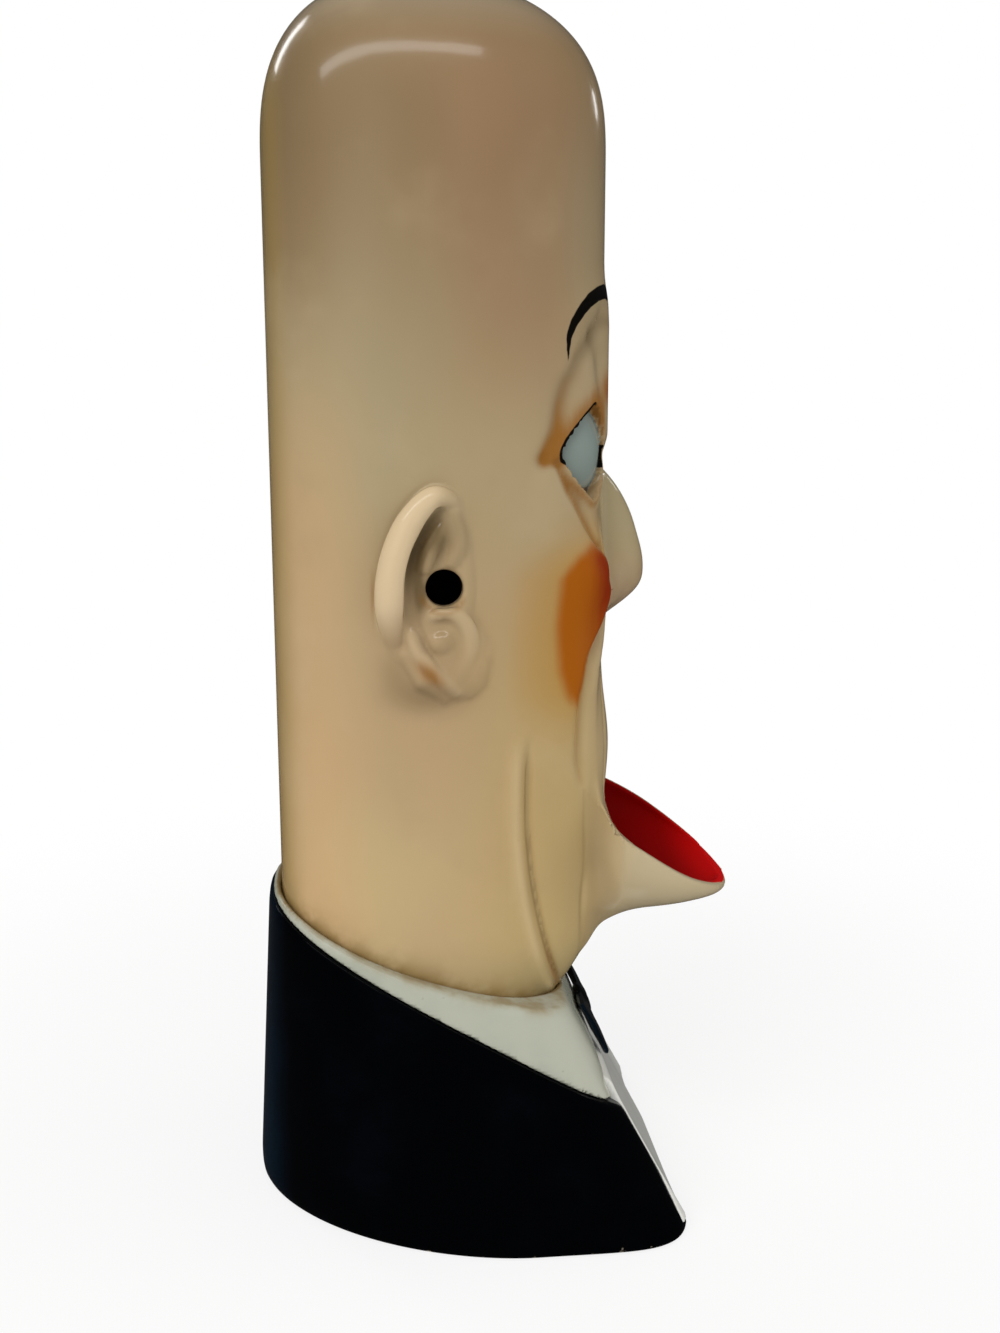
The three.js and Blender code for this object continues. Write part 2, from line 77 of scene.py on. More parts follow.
# Eggs of clay on the face: middle, and radii
EYEBALL = ((6.35, 8.75, 139.6), (12.5, 12.5, 12.5))
NOSE_BRIDGE = ((7.5, 0, 117.5), (21.0, 9.2, 24.0))
NOSE_TIP = ((20.0, 0, 117.6), (8.5, 8.6, 8.5))
NOSE_WING = ((18.6, 7.0, 115.2), (4.6, 3.2, 4.6))

# Eggs of clay on the ear: middle from the vent, and radii
EAR_PLATE = ((-1.8, 0.5, 0.0), (6.6, 13.5, 1.5))
EAR_LOBE = ((3.2, -12.3, 0.0), (4.5, 6.6, 2.0))
EAR_BOWL = ((-1.5, 1.0, 2.3), (4.9, 8.4, 3.1))
EAR_KNOB = ((-0.6, -9.1, 0.9), (2.0, 1.5, 1.3))
EAR_LIFT = 1.15  # flattens the ear's relief against the head

# Painted shadows on and under the ear: strength, middle from the vent, and radii
EAR_PAINTED_SHADOWS = ((0.90, (-3.9, -1.2), (0.9, 2.6)), (0.55, (-2.8, -18.6), (7.5, 3.6)),
            (0.35, (-8.6, -13.5), (3.6, 4.5)),
            (0.40, (0.6, 9.8), (3.6, 4.2)), (0.30, (1.2, -9.5), (4.4, 6.0)), (0.38, (-1.6, 8.2), (2.2, 2.8)))

# Rolls of clay on the ear: forward of the vent, above it, off the head, and thickness
HELIX = ((1.8, 12.0, -0.9, 0.9), (0.8, 14.6, 0.2, 1.3), (-2.2, 14.9, 1.2, 1.75), (-5.9, 10.8, 2.0, 2.15),
         (-8.3, 4.8, 2.3, 2.35), (-9.2, -1.4, 2.0, 2.35), (-9.0, -6.0, 0.6, 1.9), (-8.0, -10.8, -1.3, 1.2))
EAR_GROOVE = ((-0.9, 12.4, 1.5, 0.6), (-3.0, 9.2, 1.1, 1.0), (-4.9, 5.4, 0.7, 1.3), (-5.6, 1.6, 0.6, 1.25),
              (-5.5, -2.4, 0.9, 1.05), (-4.8, -6.6, 1.2, 0.85), (-3.4, -9.8, 1.8, 0.6))
EAR_RIDGE = ((1.5, 11.8, -0.1, 0.9), (2.2, 9.2, 0.5, 1.1), (2.2, 6.8, 0.6, 1.1), (1.2, 4.4, 0.2, 0.9))
EAR_FORK = ((-0.8, 9.4, 0.1, 1.1), (-2.2, 6.4, 0.4, 1.3), (-3.3, 3.4, 0.1, 1.1))
EAR_LOOP = ((-2.0, -4.6, 0.5, 0.8), (0.2, -3.9, 1.0, 0.95), (2.4, -4.7, 1.2, 1.05), (3.9, -6.9, 1.3, 1.1),
            (4.2, -9.6, 1.2, 1.1), (3.4, -12.4, 0.9, 1.0), (2.2, -15.2, 0.5, 0.8))
EAR_BRIM = ((-5.4, -7.6, 0.3, 1.0), (-4.4, -10.6, 0.9, 1.1), (-1.6, -14.4, 1.2, 1.15), (1.9, -17.2, 0.5, 1.1))
EAR_SKIRT = ((-6.2, -11.6, -0.5, 1.6), (-3.6, -15.4, -0.2, 1.8), (0.0, -18.2, -0.7, 1.5))

# Rule of the bust that coat, collar, shirt front and base share, in millimetres
FRONT_LEAN = 0.514  # how far the front leans back for each millimetre of height
FRONT_SQUARENESS = 6.0
BACK_LEAN = 3.4  # how far the back leans in up to the coat's edge
BACK_ROUNDNESS = 1.8
BACK_ROUNDNESS_GAIN = 0.7  # added up to the coat's edge
BUST_SPLIT = 0.626  # share of the depth behind the widest place
EDGE_SLOPE = 0.5555  # fall of the coat's edge from nape to chest
LAPEL_GAP = 0.4  # between the shirt's edge and the end of its recess
LAPEL_TAPER = 0.07  # how much the lapel widens for each millimetre of height
HOLLOW_HALF = 29.0  # half the width of the hollow in the front
HOLLOW_SQUARENESS = 6.0
HOLLOW_FADE = (24.0, 34.0)  # heights between which the hollow runs out
HOLLOW_START = 8.0  # only what lies in front of this is hollowed
FAR_FALL = 1.0  # how much further the front falls back on the figure's left
FAR_FALL_SPAN = (5.0, 21.0)

# Section of the coat's wall, from its inside over the foot to its rolled edge: share of the rows against
# share of the height, and against share of the wall drawn in
COAT_CLIMB = ((0.0, 0.97), (0.26, 0.06), (0.30, 0.0), (0.33, 0.0), (0.345, 0.006), (0.36, 0.018),
              (0.375, 0.040), (0.39, 0.070), (0.40, 0.095), (0.84, 0.955), (0.87, 0.985), (0.90, 0.997),
              (0.93, 1.0), (0.96, 0.998), (0.98, 0.992), (1.0, 0.97))
COAT_DRAW_IN = ((0.0, 1.0), (0.26, 1.0), (0.30, 0.85), (0.33, 0.42), (0.345, 0.26), (0.36, 0.14),
                (0.375, 0.06), (0.39, 0.015), (0.40, 0.0), (0.84, 0.0), (0.87, 0.04), (0.90, 0.13),
                (0.93, 0.28), (0.96, 0.60), (0.98, 0.90), (1.0, 1.0))

# Camera of the photograph, in pixels of its full height, metres and degrees
PHOTO_TALL = 1333.0
FOCAL_LENGTH = 1402.0
CAMERA_PLACE = (-0.02469, -0.25679, 0.1482)
CAMERA_TURN = -6.0
CAMERA_TILT = 10.8
FILM_TALL = 36.0

# Studio lamps: name, place, aim, width, height, power, whether the glaze mirrors it, and roll in degrees
LAMPS = (
    ("key", (-0.44, -0.60, 0.42), (0, 0, 0.11), 0.60, 0.60, 3.4, False, 0),
    ("fill", (0.50, -0.48, 0.32), (0, 0, 0.10), 0.50, 0.60, 0.8, False, 0),
    ("front", (0.62, 0.02, 0.20), (0.02, 0, 0.05), 0.40, 0.40, 1.3, False, 0),
    ("strip", (-0.205, -0.375, 0.62), (-0.015, -0.02, 0.20), 0.80, 0.085, 1.1, True, 17),
    ("back_left", (-0.42, 0.44, 0.57), (0, 0, 0.19), 0.10, 0.25, 0.5, True, 0),
    ("back_right", (0.52, 0.40, 0.39), (0, 0, 0.19), 0.05, 0.08, 0.08, True, 0),
)


class VesselSizes(bpy.types.PropertyGroup):
    """Sizes of the vessel that its pieces are made from."""

    def length(label, words, value):
        return FloatProperty(name=label, description=words, default=value, unit="LENGTH", precision=4)

    top: length("Crown Height", "Foot to the top of the crown", 0.218)
    crown_rise: length("Crown Rise", "Height of the rounded top", 0.031)
    crown_sweep: length("Crown Sweep", "How far the crown leans back", 0.003)
    head_back: length("Head Back", "Back of the skull behind the vessel's middle", -0.0392)
    head_front: length("Head Front", "Forehead in front of the vessel's middle", 0.0203)
    head_wide: length("Head Half Width", "Half the width over the temples", 0.026)
    neck_wide: length("Neck Half Width", "Half the width at the collar", 0.025)
    neck_foot: length("Neck Foot", "Lower end of the neck inside the collar", 0.0285)
    chin: length("Chin Height", "Height at which the throat starts to fall back", 0.0496)
    wall: length("Wall", "Cast wall of the head and bust", 0.0032)
    lip_wall: length("Lip Wall", "Wall of the scooped lip", 0.0021)
    mouth: length("Mouth Height", "Height of the corners of the mouth", 0.0732)
    mouth_wide: length("Mouth Half Width", "Half the outside width of the lip at its root", 0.0151)
    lip_wide: length("Lip Half Width", "Half the outside width of the lip where it flares", 0.0265)
    lip_tip: length("Lip Tip", "Tip of the lip in front of the vessel's middle", 0.0458)
    lip_tip_up: length("Lip Tip Height", "Height of the lip's tip", 0.0582)
    lip_deep: length("Lip Depth", "Rim of the lip down to the chin", 0.0216)
    eye_side: length("Eye Side", "Middle of the eye, round from the middle of the face", 0.0165)
    eye_up: length("Eye Height", "Height of the middle of the eye", 0.1392)
    eye_wide: length("Eye Half Width", "Half the width of the eye, round the head", 0.0083)
    eye_tall: length("Eye Half Height", "Half the height of the eye", 0.0078)
    vent_x: length("Vent Place", "Vent in front of the vessel's middle", -0.0097)
    vent_up: length("Vent Height", "Height of the vent in the ear", 0.1173)
    vent_round: length("Vent Radius", "Radius of the vent", 0.0031)
    foot_back: length("Foot Back", "Back of the coat's foot", -0.0449)
    foot_front: length("Foot Front", "Front of the coat's foot", 0.0354)
    foot_wide: length("Foot Half Width", "Half the width of the foot", 0.0375)
    bust_wide: length("Bust Top Half Width", "Half the width where the coat meets the neck", 0.028)
    coat_back: length("Coat Back Height", "Coat's edge behind the neck", 0.0587)
    front_hollow: length("Front Hollow", "How far the shirt front is hollowed between the lapels", 0.0020)
    lapel: length("Lapel", "Width of the coat turned onto the front, at the foot", 0.0057)
    shirt_inset: length("Shirt Inset", "Depth of the recess that takes the shirt front", 0.0026)
    shirt_foot: length("Shirt Foot", "Height at which that recess starts", 0.0035)
    tie_wide: length("Bow Half Width", "Half the width of the bow tie", 0.0145)
    tie_tall: length("Bow Half Height", "Half the height of the bow's wings", 0.0059)
    grain: length("Head Grain", "Spacing of the sculpted mesh on the plain head", 0.0013)
    face_grain: length("Face Grain", "Spacing of the sculpted mesh on the face", 0.00062)
    ear_grain: length("Ear Grain", "Spacing of the sculpted mesh on the ears", 0.0004)


class VesselColours(bpy.types.PropertyGroup):
    """Glaze and paint colours of the vessel."""

    def colour(label, words, value):
        return FloatVectorProperty(name=label, description=words, default=value, size=3, subtype="COLOR",
                                   min=0, max=1)

    flesh_low: colour("Flesh Low", "Flesh glaze at the jaw", (0.515, 0.385, 0.195))
    flesh_mid: colour("Flesh Middle", "Flesh glaze at the ears", (0.400, 0.300, 0.165))
    flesh_top: colour("Flesh Top", "Flesh glaze on the crown", (0.250, 0.170, 0.088))
    ochre: colour("Ochre", "Pigment that pools in creases", (0.255, 0.098, 0.010))
    rouge: colour("Rouge", "Airbrushed cheek colour", (0.335, 0.083, 0.000))
    rouge_deep: colour("Deep Rouge", "Red at the front of the cheek", (0.215, 0.016, 0.000))
    mouth_red: colour("Mouth Red", "Enamel inside the mouth", (0.290, 0.000, 0.000))
    eye_white: colour("Eye White", "Glaze of the eyes", (0.290, 0.352, 0.300))
    line: colour("Painted Line", "Brows, lashes and pupils", (0.004, 0.003, 0.002))
    white: colour("White Glaze", "Collar", (0.440, 0.450, 0.370))
    # Painted light: the shirt front has the collar's white glaze, made lighter to stand in for the stronger light
    # on it
    shirt: colour("Shirt Glaze", "Cleaner white of the shirt front", (0.720, 0.720, 0.680))
    coat: colour("Coat Glaze", "Blue-black coat and bow", (0.0006, 0.0008, 0.0012))
    clay: colour("Bare Clay", "Unglazed foot and chips", (0.560, 0.480, 0.360))


def soft_min(a, b, k):
    """The lesser of two fields, rounded over a width where they meet."""
    h = np.clip(0.5 + 0.5 * (b - a) / k, 0.0, 1.0)
    return b + (a - b) * h - k * h * (1.0 - h)


def soft_max(a, b, k):
    """The greater of two fields, rounded over a width where they meet."""
    return -soft_min(-a, -b, k)


def swell(p, middle, spread):
    """1 at the middle, falling off like a bell on both sides."""
    return np.exp(-(((p - middle) / spread) ** 2))


def spot(p, q, middle, radii):
    """1 at the middle of a soft oval patch in a plane."""
    return np.exp(-(((p - middle[0]) / radii[0]) ** 2 + ((q - middle[1]) / radii[1]) ** 2))


def ramp(p, low, high):
    """0 below low and 1 above high, smoothly between."""
    t = np.clip((p - low) / (high - low), 0.0, 1.0)
    return t * t * (3.0 - 2.0 * t)


def line_gap(p, q, points):
    """Distance in a plane to a chain of points, and the share of the chain before the nearest place."""
    best = np.full(p.shape, 1e9)
    along = np.zeros(p.shape)
    last = len(points) - 1
    for i in range(last):
        (a, b), (c, d) = points[i], points[i + 1]
        t = np.clip(((p - a) * (c - a) + (q - b) * (d - b)) / ((c - a) ** 2 + (d - b) ** 2), 0, 1)
        gap = np.hypot(p - a - t * (c - a), q - b - t * (d - b))
        nearer = gap < best
        best = np.where(nearer, gap, best)
        along = np.where(nearer, (i + t) / last, along)
    return best, along


def curve_through(points, count):
    """Places along a smooth curve through the points."""
    p = np.array(points, float)
    p = np.vstack([2 * p[0] - p[1], p, 2 * p[-1] - p[-2]])
    t = np.linspace(0, len(points) - 1, count)
    i = np.minimum(t.astype(int), len(points) - 2)
    f = (t - i)[:, None]
    a, b, c, d = p[i], p[i + 1], p[i + 2], p[i + 3]
    return 0.5 * (2 * b + (c - a) * f + (2 * a - 5 * b + 4 * c - d) * f**2 + (3 * b - a - 3 * c + d) * f**3)


def roll(p, q, r, points, k=0.3):
    """Distance to a roll of clay through beads of three places and a radius."""
    best = None
    for (a, b, c, s), (d, e, f, g) in zip(points, points[1:]):
        da, db, dc = d - a, e - b, f - c
        t = np.clip(((p - a) * da + (q - b) * db + (r - c) * dc) / (da * da + db * db + dc * dc), 0, 1)
        gap = np.sqrt((p - a - t * da) ** 2 + (q - b - t * db) ** 2 + (r - c - t * dc) ** 2)
        gap = gap - (s + t * (g - s))
        best = gap if best is None else soft_min(best, gap, k)
    return best


def ball(p, q, r, middle, radii):
    """Distance to an egg of clay."""
    u, v, w = ((c - m) / s for c, m, s in zip((p, q, r), middle, radii))
    k = np.sqrt(u * u + v * v + w * w) + 1e-9
    g = np.sqrt((u / radii[0]) ** 2 + (v / radii[1]) ** 2 + (w / radii[2]) ** 2) / k + 1e-9
    return (k - 1.0) / g


class Clay:
    """Distance fields of the vessel, in millimetres, from its sizes."""

    def __init__(self, sizes):
        for name in VesselSizes.__annotations__:
            setattr(self, name, getattr(sizes, name) / MM)
        self.slope = (self.mouth + 0.2 - self.lip_tip_up) / (self.lip_tip - self.head_front)
        self.helix = curve_through(HELIX, 44)
        self.groove = curve_through(EAR_GROOVE, 24)
        self.ridge = curve_through(EAR_RIDGE, 12)
        self.fork = curve_through(EAR_FORK, 10)
        self.loop = curve_through(EAR_LOOP, 24)
        self.brim = curve_through(EAR_BRIM, 14)
        self.turns = np.linspace(0.0, math.pi, 721)
        cosine, sine = np.cos(self.turns), np.sin(self.turns)
        reach = (np.abs(cosine) ** 2.5 + np.abs(sine) ** 2.5) ** -0.4
        self.head_half = (self.head_front - self.head_back) / 2
        path = np.stack([self.head_half * reach * cosine, self.head_wide * reach * sine], 1)
        self.girth = np.concatenate([[0.0], np.cumsum(np.linalg.norm(np.diff(path, axis=0), axis=1))])

    def skull(self, x, y, z):
        """Plain head, neck and crown."""
        front = self.head_front - 2.25 * np.logaddexp(0.0, (self.chin - z) / 3.0)
        middle, half = (self.head_back + front) / 2, (front - self.head_back) / 2
        wide = self.head_wide + (self.neck_wide - self.head_wide) * np.clip((110.0 - z) / 62.0, 0, 1)
        rise = np.clip((z - self.top + self.crown_rise) / self.crown_rise, 0, 1.3)
        u = (x - middle + self.crown_sweep * rise**4) / half
        v = np.abs(y) / wide
        n = 2.5 + 1.1 * swell(z, self.mouth, 24.0) * (u > 0)
        au = np.abs(u)
        r = (au**n + v**n + 1e-12) ** (1.0 / n)
        g = r * r + rise**3 - 1.0
        gx = 2 * r * au ** (n - 1) * r ** (1 - n) / half
        gy = 2 * r * v ** (n - 1) * r ** (1 - n) / wide
        gz = 3 * rise**2 / self.crown_rise
        return g / np.sqrt(gx * gx + gy * gy + gz * gz + 1e-4)

    def around(self, x, y):
        """Distance round the head from the middle of the face."""
        middle = self.head_front - self.head_half
        turn = np.arctan2(np.abs(y) / self.head_wide, (x - middle) / self.head_half)
        return np.interp(turn, self.turns, self.girth)

    def eye_edge(self, q, z):
        """How far outside the almond outline of the eye a place on the face lies."""
        u, v = (q - self.eye_side) / self.eye_wide, (z - self.eye_up) / self.eye_tall
        u = np.where(u > 0, u, u * 1.5)
        n = np.where(u > 0, 1.3, 1.9)
        return ((np.abs(u) ** n + np.abs(v) ** n + 1e-9) ** (1 / n) - 1.0) * self.eye_tall

    def jaw_line(self, z):
        """Where the crease of the jaw lies at a height."""
        return 4.1 + 0.0049 * np.clip(80 - z, 0, None) ** 2 + 0.004 * np.clip(z - 80, 0, None) ** 2

    def relief(self, x, y, z):
        """How far the low modelling of the face stands off the plain head."""
        a, q = np.abs(y), self.around(x, y)
        eye = self.eye_edge(q, z)
        brow, crease, inner, bag, fold, pleat = (line_gap(q, z, line)[0] for line in (
            BROW_LINE, CREASE_LINE, INNER_CREASE, BAG_LINE, FOLD_LINE, PLEAT_LINE))
        # Brow, creases and lids
        lid = np.clip(eye - 0.4, 0, None)
        upper = 0.55 * swell(lid, 0.0, 3.4) * ramp(z, 135.5, 140.0) * ramp(q, 9.0, 15.0)
        lower = 0.60 * swell(lid, 0.0, 1.5) * ramp(-z, -140.0, -135.5)
        out = 0.95 * ramp(-q, -14.5, -9.0) * ramp(z, 137.5, 142.5) * ramp(-z, -168.0, -160.0)
        out += 0.45 * swell(brow, 0.0, 3.0) - 0.62 * swell(crease, 0.0, 1.7) * ramp(q, 9, 14)
        out += 0.50 * swell(q, 19.5, 4.0) * swell(z, 151.0, 5.5) - 0.20 * swell(inner, 0.0, 1.4)
        out += ramp(eye, -0.1, 0.45) * (upper + lower)
        # Sunk eye, bag under it and saddle of the nose
        out -= 2.8 * ramp(-eye, -0.35, 0.25) + 0.75 * swell(bag, 0.0, 1.0)
        out -= 0.9 * swell(a, 0.0, 6.0) * swell(z, 136.6, 3.0)
        # Cheek, folds beside the mouth and upper lip
        out += 2.75 * swell(q, 16.3, 6.2) * swell(z, 118.0, np.where(z > 118.0, 5.8, 8.2))
        out += 0.8 * swell(q, 20.0, 4.6) * swell(z, 102, 8) - 0.45 * swell(pleat, 0.0, 0.8)
        out += 0.7 * swell(fold, 2.6, 1.7) * ramp(-q, -20.0, -14.5)
        out -= swell(fold, 0.0, 1.2) * ramp(z, 80.0, 86.0)
        out += 1.8 * swell(a, 0.0, 15.0) * swell(z, 86, 10.0)
        out *= ramp(x, 1.0, 6.0)
        # Ridges and groove of the jaw crease
        s = x - self.jaw_line(z)
        reach = ramp(z, 38, 46) * ramp(-z, -93, -84) * ramp(a, 12, 17)
        ridges = 0.85 * swell(s, -1.7, 1.5) + 0.15 * swell(s, 3.0, 2.0)
        ridges += 0.7 * swell(s, -0.9, 1.3) * swell(z, 44.2, 1.7)
        return out + reach * (ridges - swell(s, 0.25, 0.8))

    def by_nose(self, x, a, z):
        """Which places are near enough to the nose to feel it."""
        return (x > 6) & (z > 100) & (z < 145) & (a < 16)

    def nose(self, x, y, z):
        """Nose with a ball tip and wings, cut flat underneath."""
        bridge = ball(x, y, z, *NOSE_BRIDGE)
        tip = ball(x, y, z, *NOSE_TIP)
        wing = ball(x, np.abs(y), z, *NOSE_WING)
        under = 0.52 * (x - 27.1) - 0.854 * (z - 113.0)
        return soft_max(soft_min(soft_min(bridge, tip, 2.0), wing, 2.5), under, 2.0)

    def ear(self, x, z, off):
        """Ear on the side of the head, off being the distance from the plain head."""
        u, w, e = x - self.vent_x, z - self.vent_up, off * EAR_LIFT
        f = soft_min(ball(u, w, e, *EAR_PLATE), roll(u, w, e, self.helix, 0.5), 0.9)
        f = soft_min(f, ball(u, w, e, *EAR_LOBE), 1.6)
        f = soft_min(f, roll(u, w, e, EAR_SKIRT, 0.8), 1.4)
        f = soft_max(f, -ball(u, w, e, *EAR_BOWL), 1.2)
        f = soft_max(f, -roll(u, w, e, self.groove, 0.4), 1.0)
        f = soft_min(f, soft_min(roll(u, w, e, self.ridge), roll(u, w, e, self.fork), 1.0), 1.3)
        f = soft_min(f, ball(u, w, e, *EAR_KNOB), 1.0)
        return soft_min(soft_min(f, roll(u, w, e, self.loop, 0.5), 1.1), roll(u, w, e, self.brim, 0.5), 1.0)

    def rim_line(self, x, y):
        """Height of the lip's straight rim, which hangs a little crooked."""
        return self.mouth + 0.2 - self.slope * (x - self.head_front) + 0.055 * y * ramp(x, 20.0, 36.0)

    def rim(self, x, y):
        """Height of the lip's rim, which turns up at the corners of the mouth."""
        return self.rim_line(x, y) + 2.8 * swell(x, 18.0, 1.9)

    def scoop_share(self, x, y, z, inset):
        """Where a place lies in the scoop: 0 on its rim's middle line, 1 on its wall."""
        reach = self.lip_tip - self.head_front - 0.8 * inset
        out = (x - self.head_front) / reach
        fore = np.clip((out + np.sqrt(out * out + 0.012)) / 2, 0.0, 0.9999)
        wide = self.mouth_wide + (self.lip_wide - self.mouth_wide) * ramp(x - inset, 14.5, 21.8)
        wide = (wide - inset) * np.sqrt(1 - fore**2.3)
        rim = self.rim(x, y)
        blunt = max(1.0 - inset, 0.0) * ramp(fore, 0.55, 1.0)
        deep = rim - self.rim_line(x, y) + (self.lip_deep - inset) * (1 - fore) + blunt
        drop = np.clip(rim - z, 0, None) / deep
        past = np.clip(out - 0.9999, 0, None)
        return ((np.abs(y) / wide) ** 2.1 + drop**2.1 + 1e-12) ** (1 / 2.1) + 40 * past

    def scoop(self, x, y, z, inset):
        """Half-oval scoop of the lip under its sloping rim, open above."""
        d = 0.02
        s = self.scoop_share(x, y, z, inset)
        gx = self.scoop_share(x + d, y, z, inset) - self.scoop_share(x - d, y, z, inset)
        gy = self.scoop_share(x, y + d, z, inset) - self.scoop_share(x, y - d, z, inset)
        gz = self.scoop_share(x, y, z + d, inset) - self.scoop_share(x, y, z - d, inset)
        return (s - 1.0) / np.sqrt((gx * gx + gy * gy + gz * gz) / (4 * d * d) + 6e-4)

    def mouth_void(self, x, y, z):
        """Way in over the lip, under the arch of the upper lip and into the head."""
        inner = self.scoop(x, y, z, self.lip_wall)
        roof = (z - self.mouth - 4.5 * np.clip(1 - (np.abs(y) / 20.0) ** 2, -1, 1)) * 0.9
        void = np.where(x > self.head_front + 3, inner, soft_max(inner, roof, 1.0))
        return soft_max(void, 2.0 - x, 1.0)

    def body(self, x, y, z):
        """The whole head: modelled skin outside, hollow inside, open at mouth, vents and neck."""
        base = self.skull(x, y, z)
        a = np.abs(y)
        f = base - self.relief(x, y, z)
        at = self.by_nose(x, a, z)
        f[at] = soft_min(f[at], self.nose(x[at], y[at], z[at]), 1.6)
        at = (x > 2) & (z > 126) & (z < 153) & (a > 1)
        eye = ball(x[at], a[at], z[at], *EYEBALL)
        eye = soft_max(eye, self.eye_edge(self.around(x[at], y[at]), z[at]) - 0.5, 0.8)
        f[at] = soft_min(f[at], eye, 0.4)
        at = (a > 15) & (np.abs(x - self.vent_x) < 15) & (np.abs(z - self.vent_up) < 24)
        f[at] = soft_min(f[at], self.ear(x[at], z[at], base[at]), 0.9)
        lip = (x > -5) & (z < 92) & (z > 22)
        p, q, r = x[lip], y[lip], z[lip]
        solid = soft_max(self.scoop(p, q, r, 0.0), (r - self.rim(p, q)) * 0.84, 0.5)
        blend = 3.0 + ramp(np.abs(q), 9.0, 16.0) * (1.6 + 4.0 * ramp(-r, -68.0, -58.0))
        f[lip] = soft_min(f[lip], solid, blend)
        f = soft_max(f, -(base + self.wall), 0.4)
        f[lip] = soft_max(f[lip], -self.mouth_void(p, q, r), 0.7)
        f[at] = soft_max(f[at], self.vent_round - np.hypot(x[at] - self.vent_x, z[at] - self.vent_up), 0.8)
        return f

    def ear_edge(self, x, y, z):
        """Negative inside the outline of an ear's own piece of clay."""
        u, w = (x - self.vent_x + 2.6) / 10.6, (z - self.vent_up + 0.9) / 19.4
        return np.maximum((np.sqrt(u * u + w * w + 1e-9) - 1.0) * 12.0, 15.0 - np.abs(y))

    def nose_edge(self, x, y, z):
        """Negative inside the outline of the nose's own piece of clay."""
        v, w = y / 10.4, (z - 119.5) / np.where(z > 119.5, 19.5, 12.5)
        return np.maximum((np.sqrt(v * v + w * w + 1e-9) - 1.0) * 10.0, 8.0 - x)

    def jaw_edge(self, x, y, z):
        """Negative in front of the jaw's seam, below the mouth and above the throat."""
        return np.maximum(np.maximum(self.jaw_line(z) - 2.6 - x, z - self.mouth), 40.0 - z)

    def head_edge(self, x, y, z):
        """Negative where no other piece of the head lies, down to the neck's foot."""
        other = np.min([edge(x, y, z) for edge in (self.ear_edge, self.nose_edge, self.jaw_edge)], axis=0)
        return np.maximum(-other - 0.06, self.neck_foot - z)

    def bust(self, x, y, z, inset):
        """Sloping bust under the head, square and slightly hollow in front and round behind."""
        hollow = self.front_hollow * (1 - np.clip(np.abs(y) / HOLLOW_HALF, 0, 1) ** HOLLOW_SQUARENESS)
        hollow += FAR_FALL * ramp(y, *FAR_FALL_SPAN)
        x = x + hollow * (1 - ramp(z, *HOLLOW_FADE)) * (x > HOLLOW_START)
        back = self.foot_back + inset + BACK_LEAN * z / self.coat_back
        front = self.foot_front - inset - FRONT_LEAN * z
        middle = back + (front - back) * BUST_SPLIT
        up = np.clip(z / self.coat_back, -0.2, 1.4)
        wide = self.foot_wide + (self.bust_wide - self.foot_wide) * up - inset
        ahead = x > middle
        half = np.where(ahead, front - middle, middle - back)
        n = np.where(ahead, FRONT_SQUARENESS, BACK_ROUNDNESS + BACK_ROUNDNESS_GAIN * np.clip(up, 0, 1))
        u, v = np.abs(x - middle) / half, np.abs(y) / wide
        r = (u**n + v**n + 1e-12) ** (1.0 / n)
        gx = u ** (n - 1) * r ** (1 - n) / half
        gy = v ** (n - 1) * r ** (1 - n) / wide
        gz = np.where(ahead, 0.46, 0.06) * gx
        return (r - 1.0) / np.sqrt(gx * gx + gy * gy + gz * gz + 1e-4)

    def coat_edge(self, x):
        """Height of the coat's sloping edge."""
        return self.coat_back - EDGE_SLOPE * (x - self.foot_back - BACK_LEAN)

    def collar_top(self, x):
        """Height of the collar's upper edge, sagging between nape and chin."""
        t = np.clip((23.3 - x) / 64.8, -0.1, 1.1)
        return (1 - t) ** 2 * 40.5 + 2 * t * (1 - t) * 43.0 + t * t * 60.5

    def collar(self, x, y, z):
        """Band between the neck and the bust's skin, from the coat's edge up."""
        ring = soft_max(self.bust(x, y, z, 0.8), -(self.skull(x, y, z) - 0.05), 0.5)
        ring = soft_max(ring, (z - self.collar_top(x)) * 0.93, 1.3)
        ring = soft_max(ring, x + FRONT_LEAN * z - self.foot_front + 1.6, 0.8)
        return soft_max(ring, (self.coat_edge(x) + 0.15 - z) * 0.874, 0.4)

    def shirt_place(self, x, z):
        """Distance in front of the shirt's plane, and distance up along it from the foot."""
        lean = math.atan(FRONT_LEAN)
        return ((x - self.foot_front) * math.cos(lean) + z * math.sin(lean),
                z * math.cos(lean) - (x - self.foot_front) * math.sin(lean))

    def shirt_wide(self, z):
        """Half the width of the shirt front, narrowing to the foot between the lapels."""
        wide = self.foot_wide - (self.foot_wide - self.bust_wide) * z / self.coat_back
        return wide - self.lapel - LAPEL_TAPER * z

    def shirt(self, x, y, z):
        """Thin panel on the bust's slanted front, between the lapels."""
        off, _ = self.shirt_place(x, z)
        skin = self.bust(x, y, z, 0.0)
        f = soft_max(skin - 0.22, -skin - 1.6, 0.4)
        f = soft_max(f, np.abs(y) - self.shirt_wide(z), 0.6)
        f = soft_max(f, np.maximum(1.6 - z, -9.0 - off), 0.6)
        return soft_max(f, (z - self.coat_edge(x) - 2.6) * 0.874, 0.8)

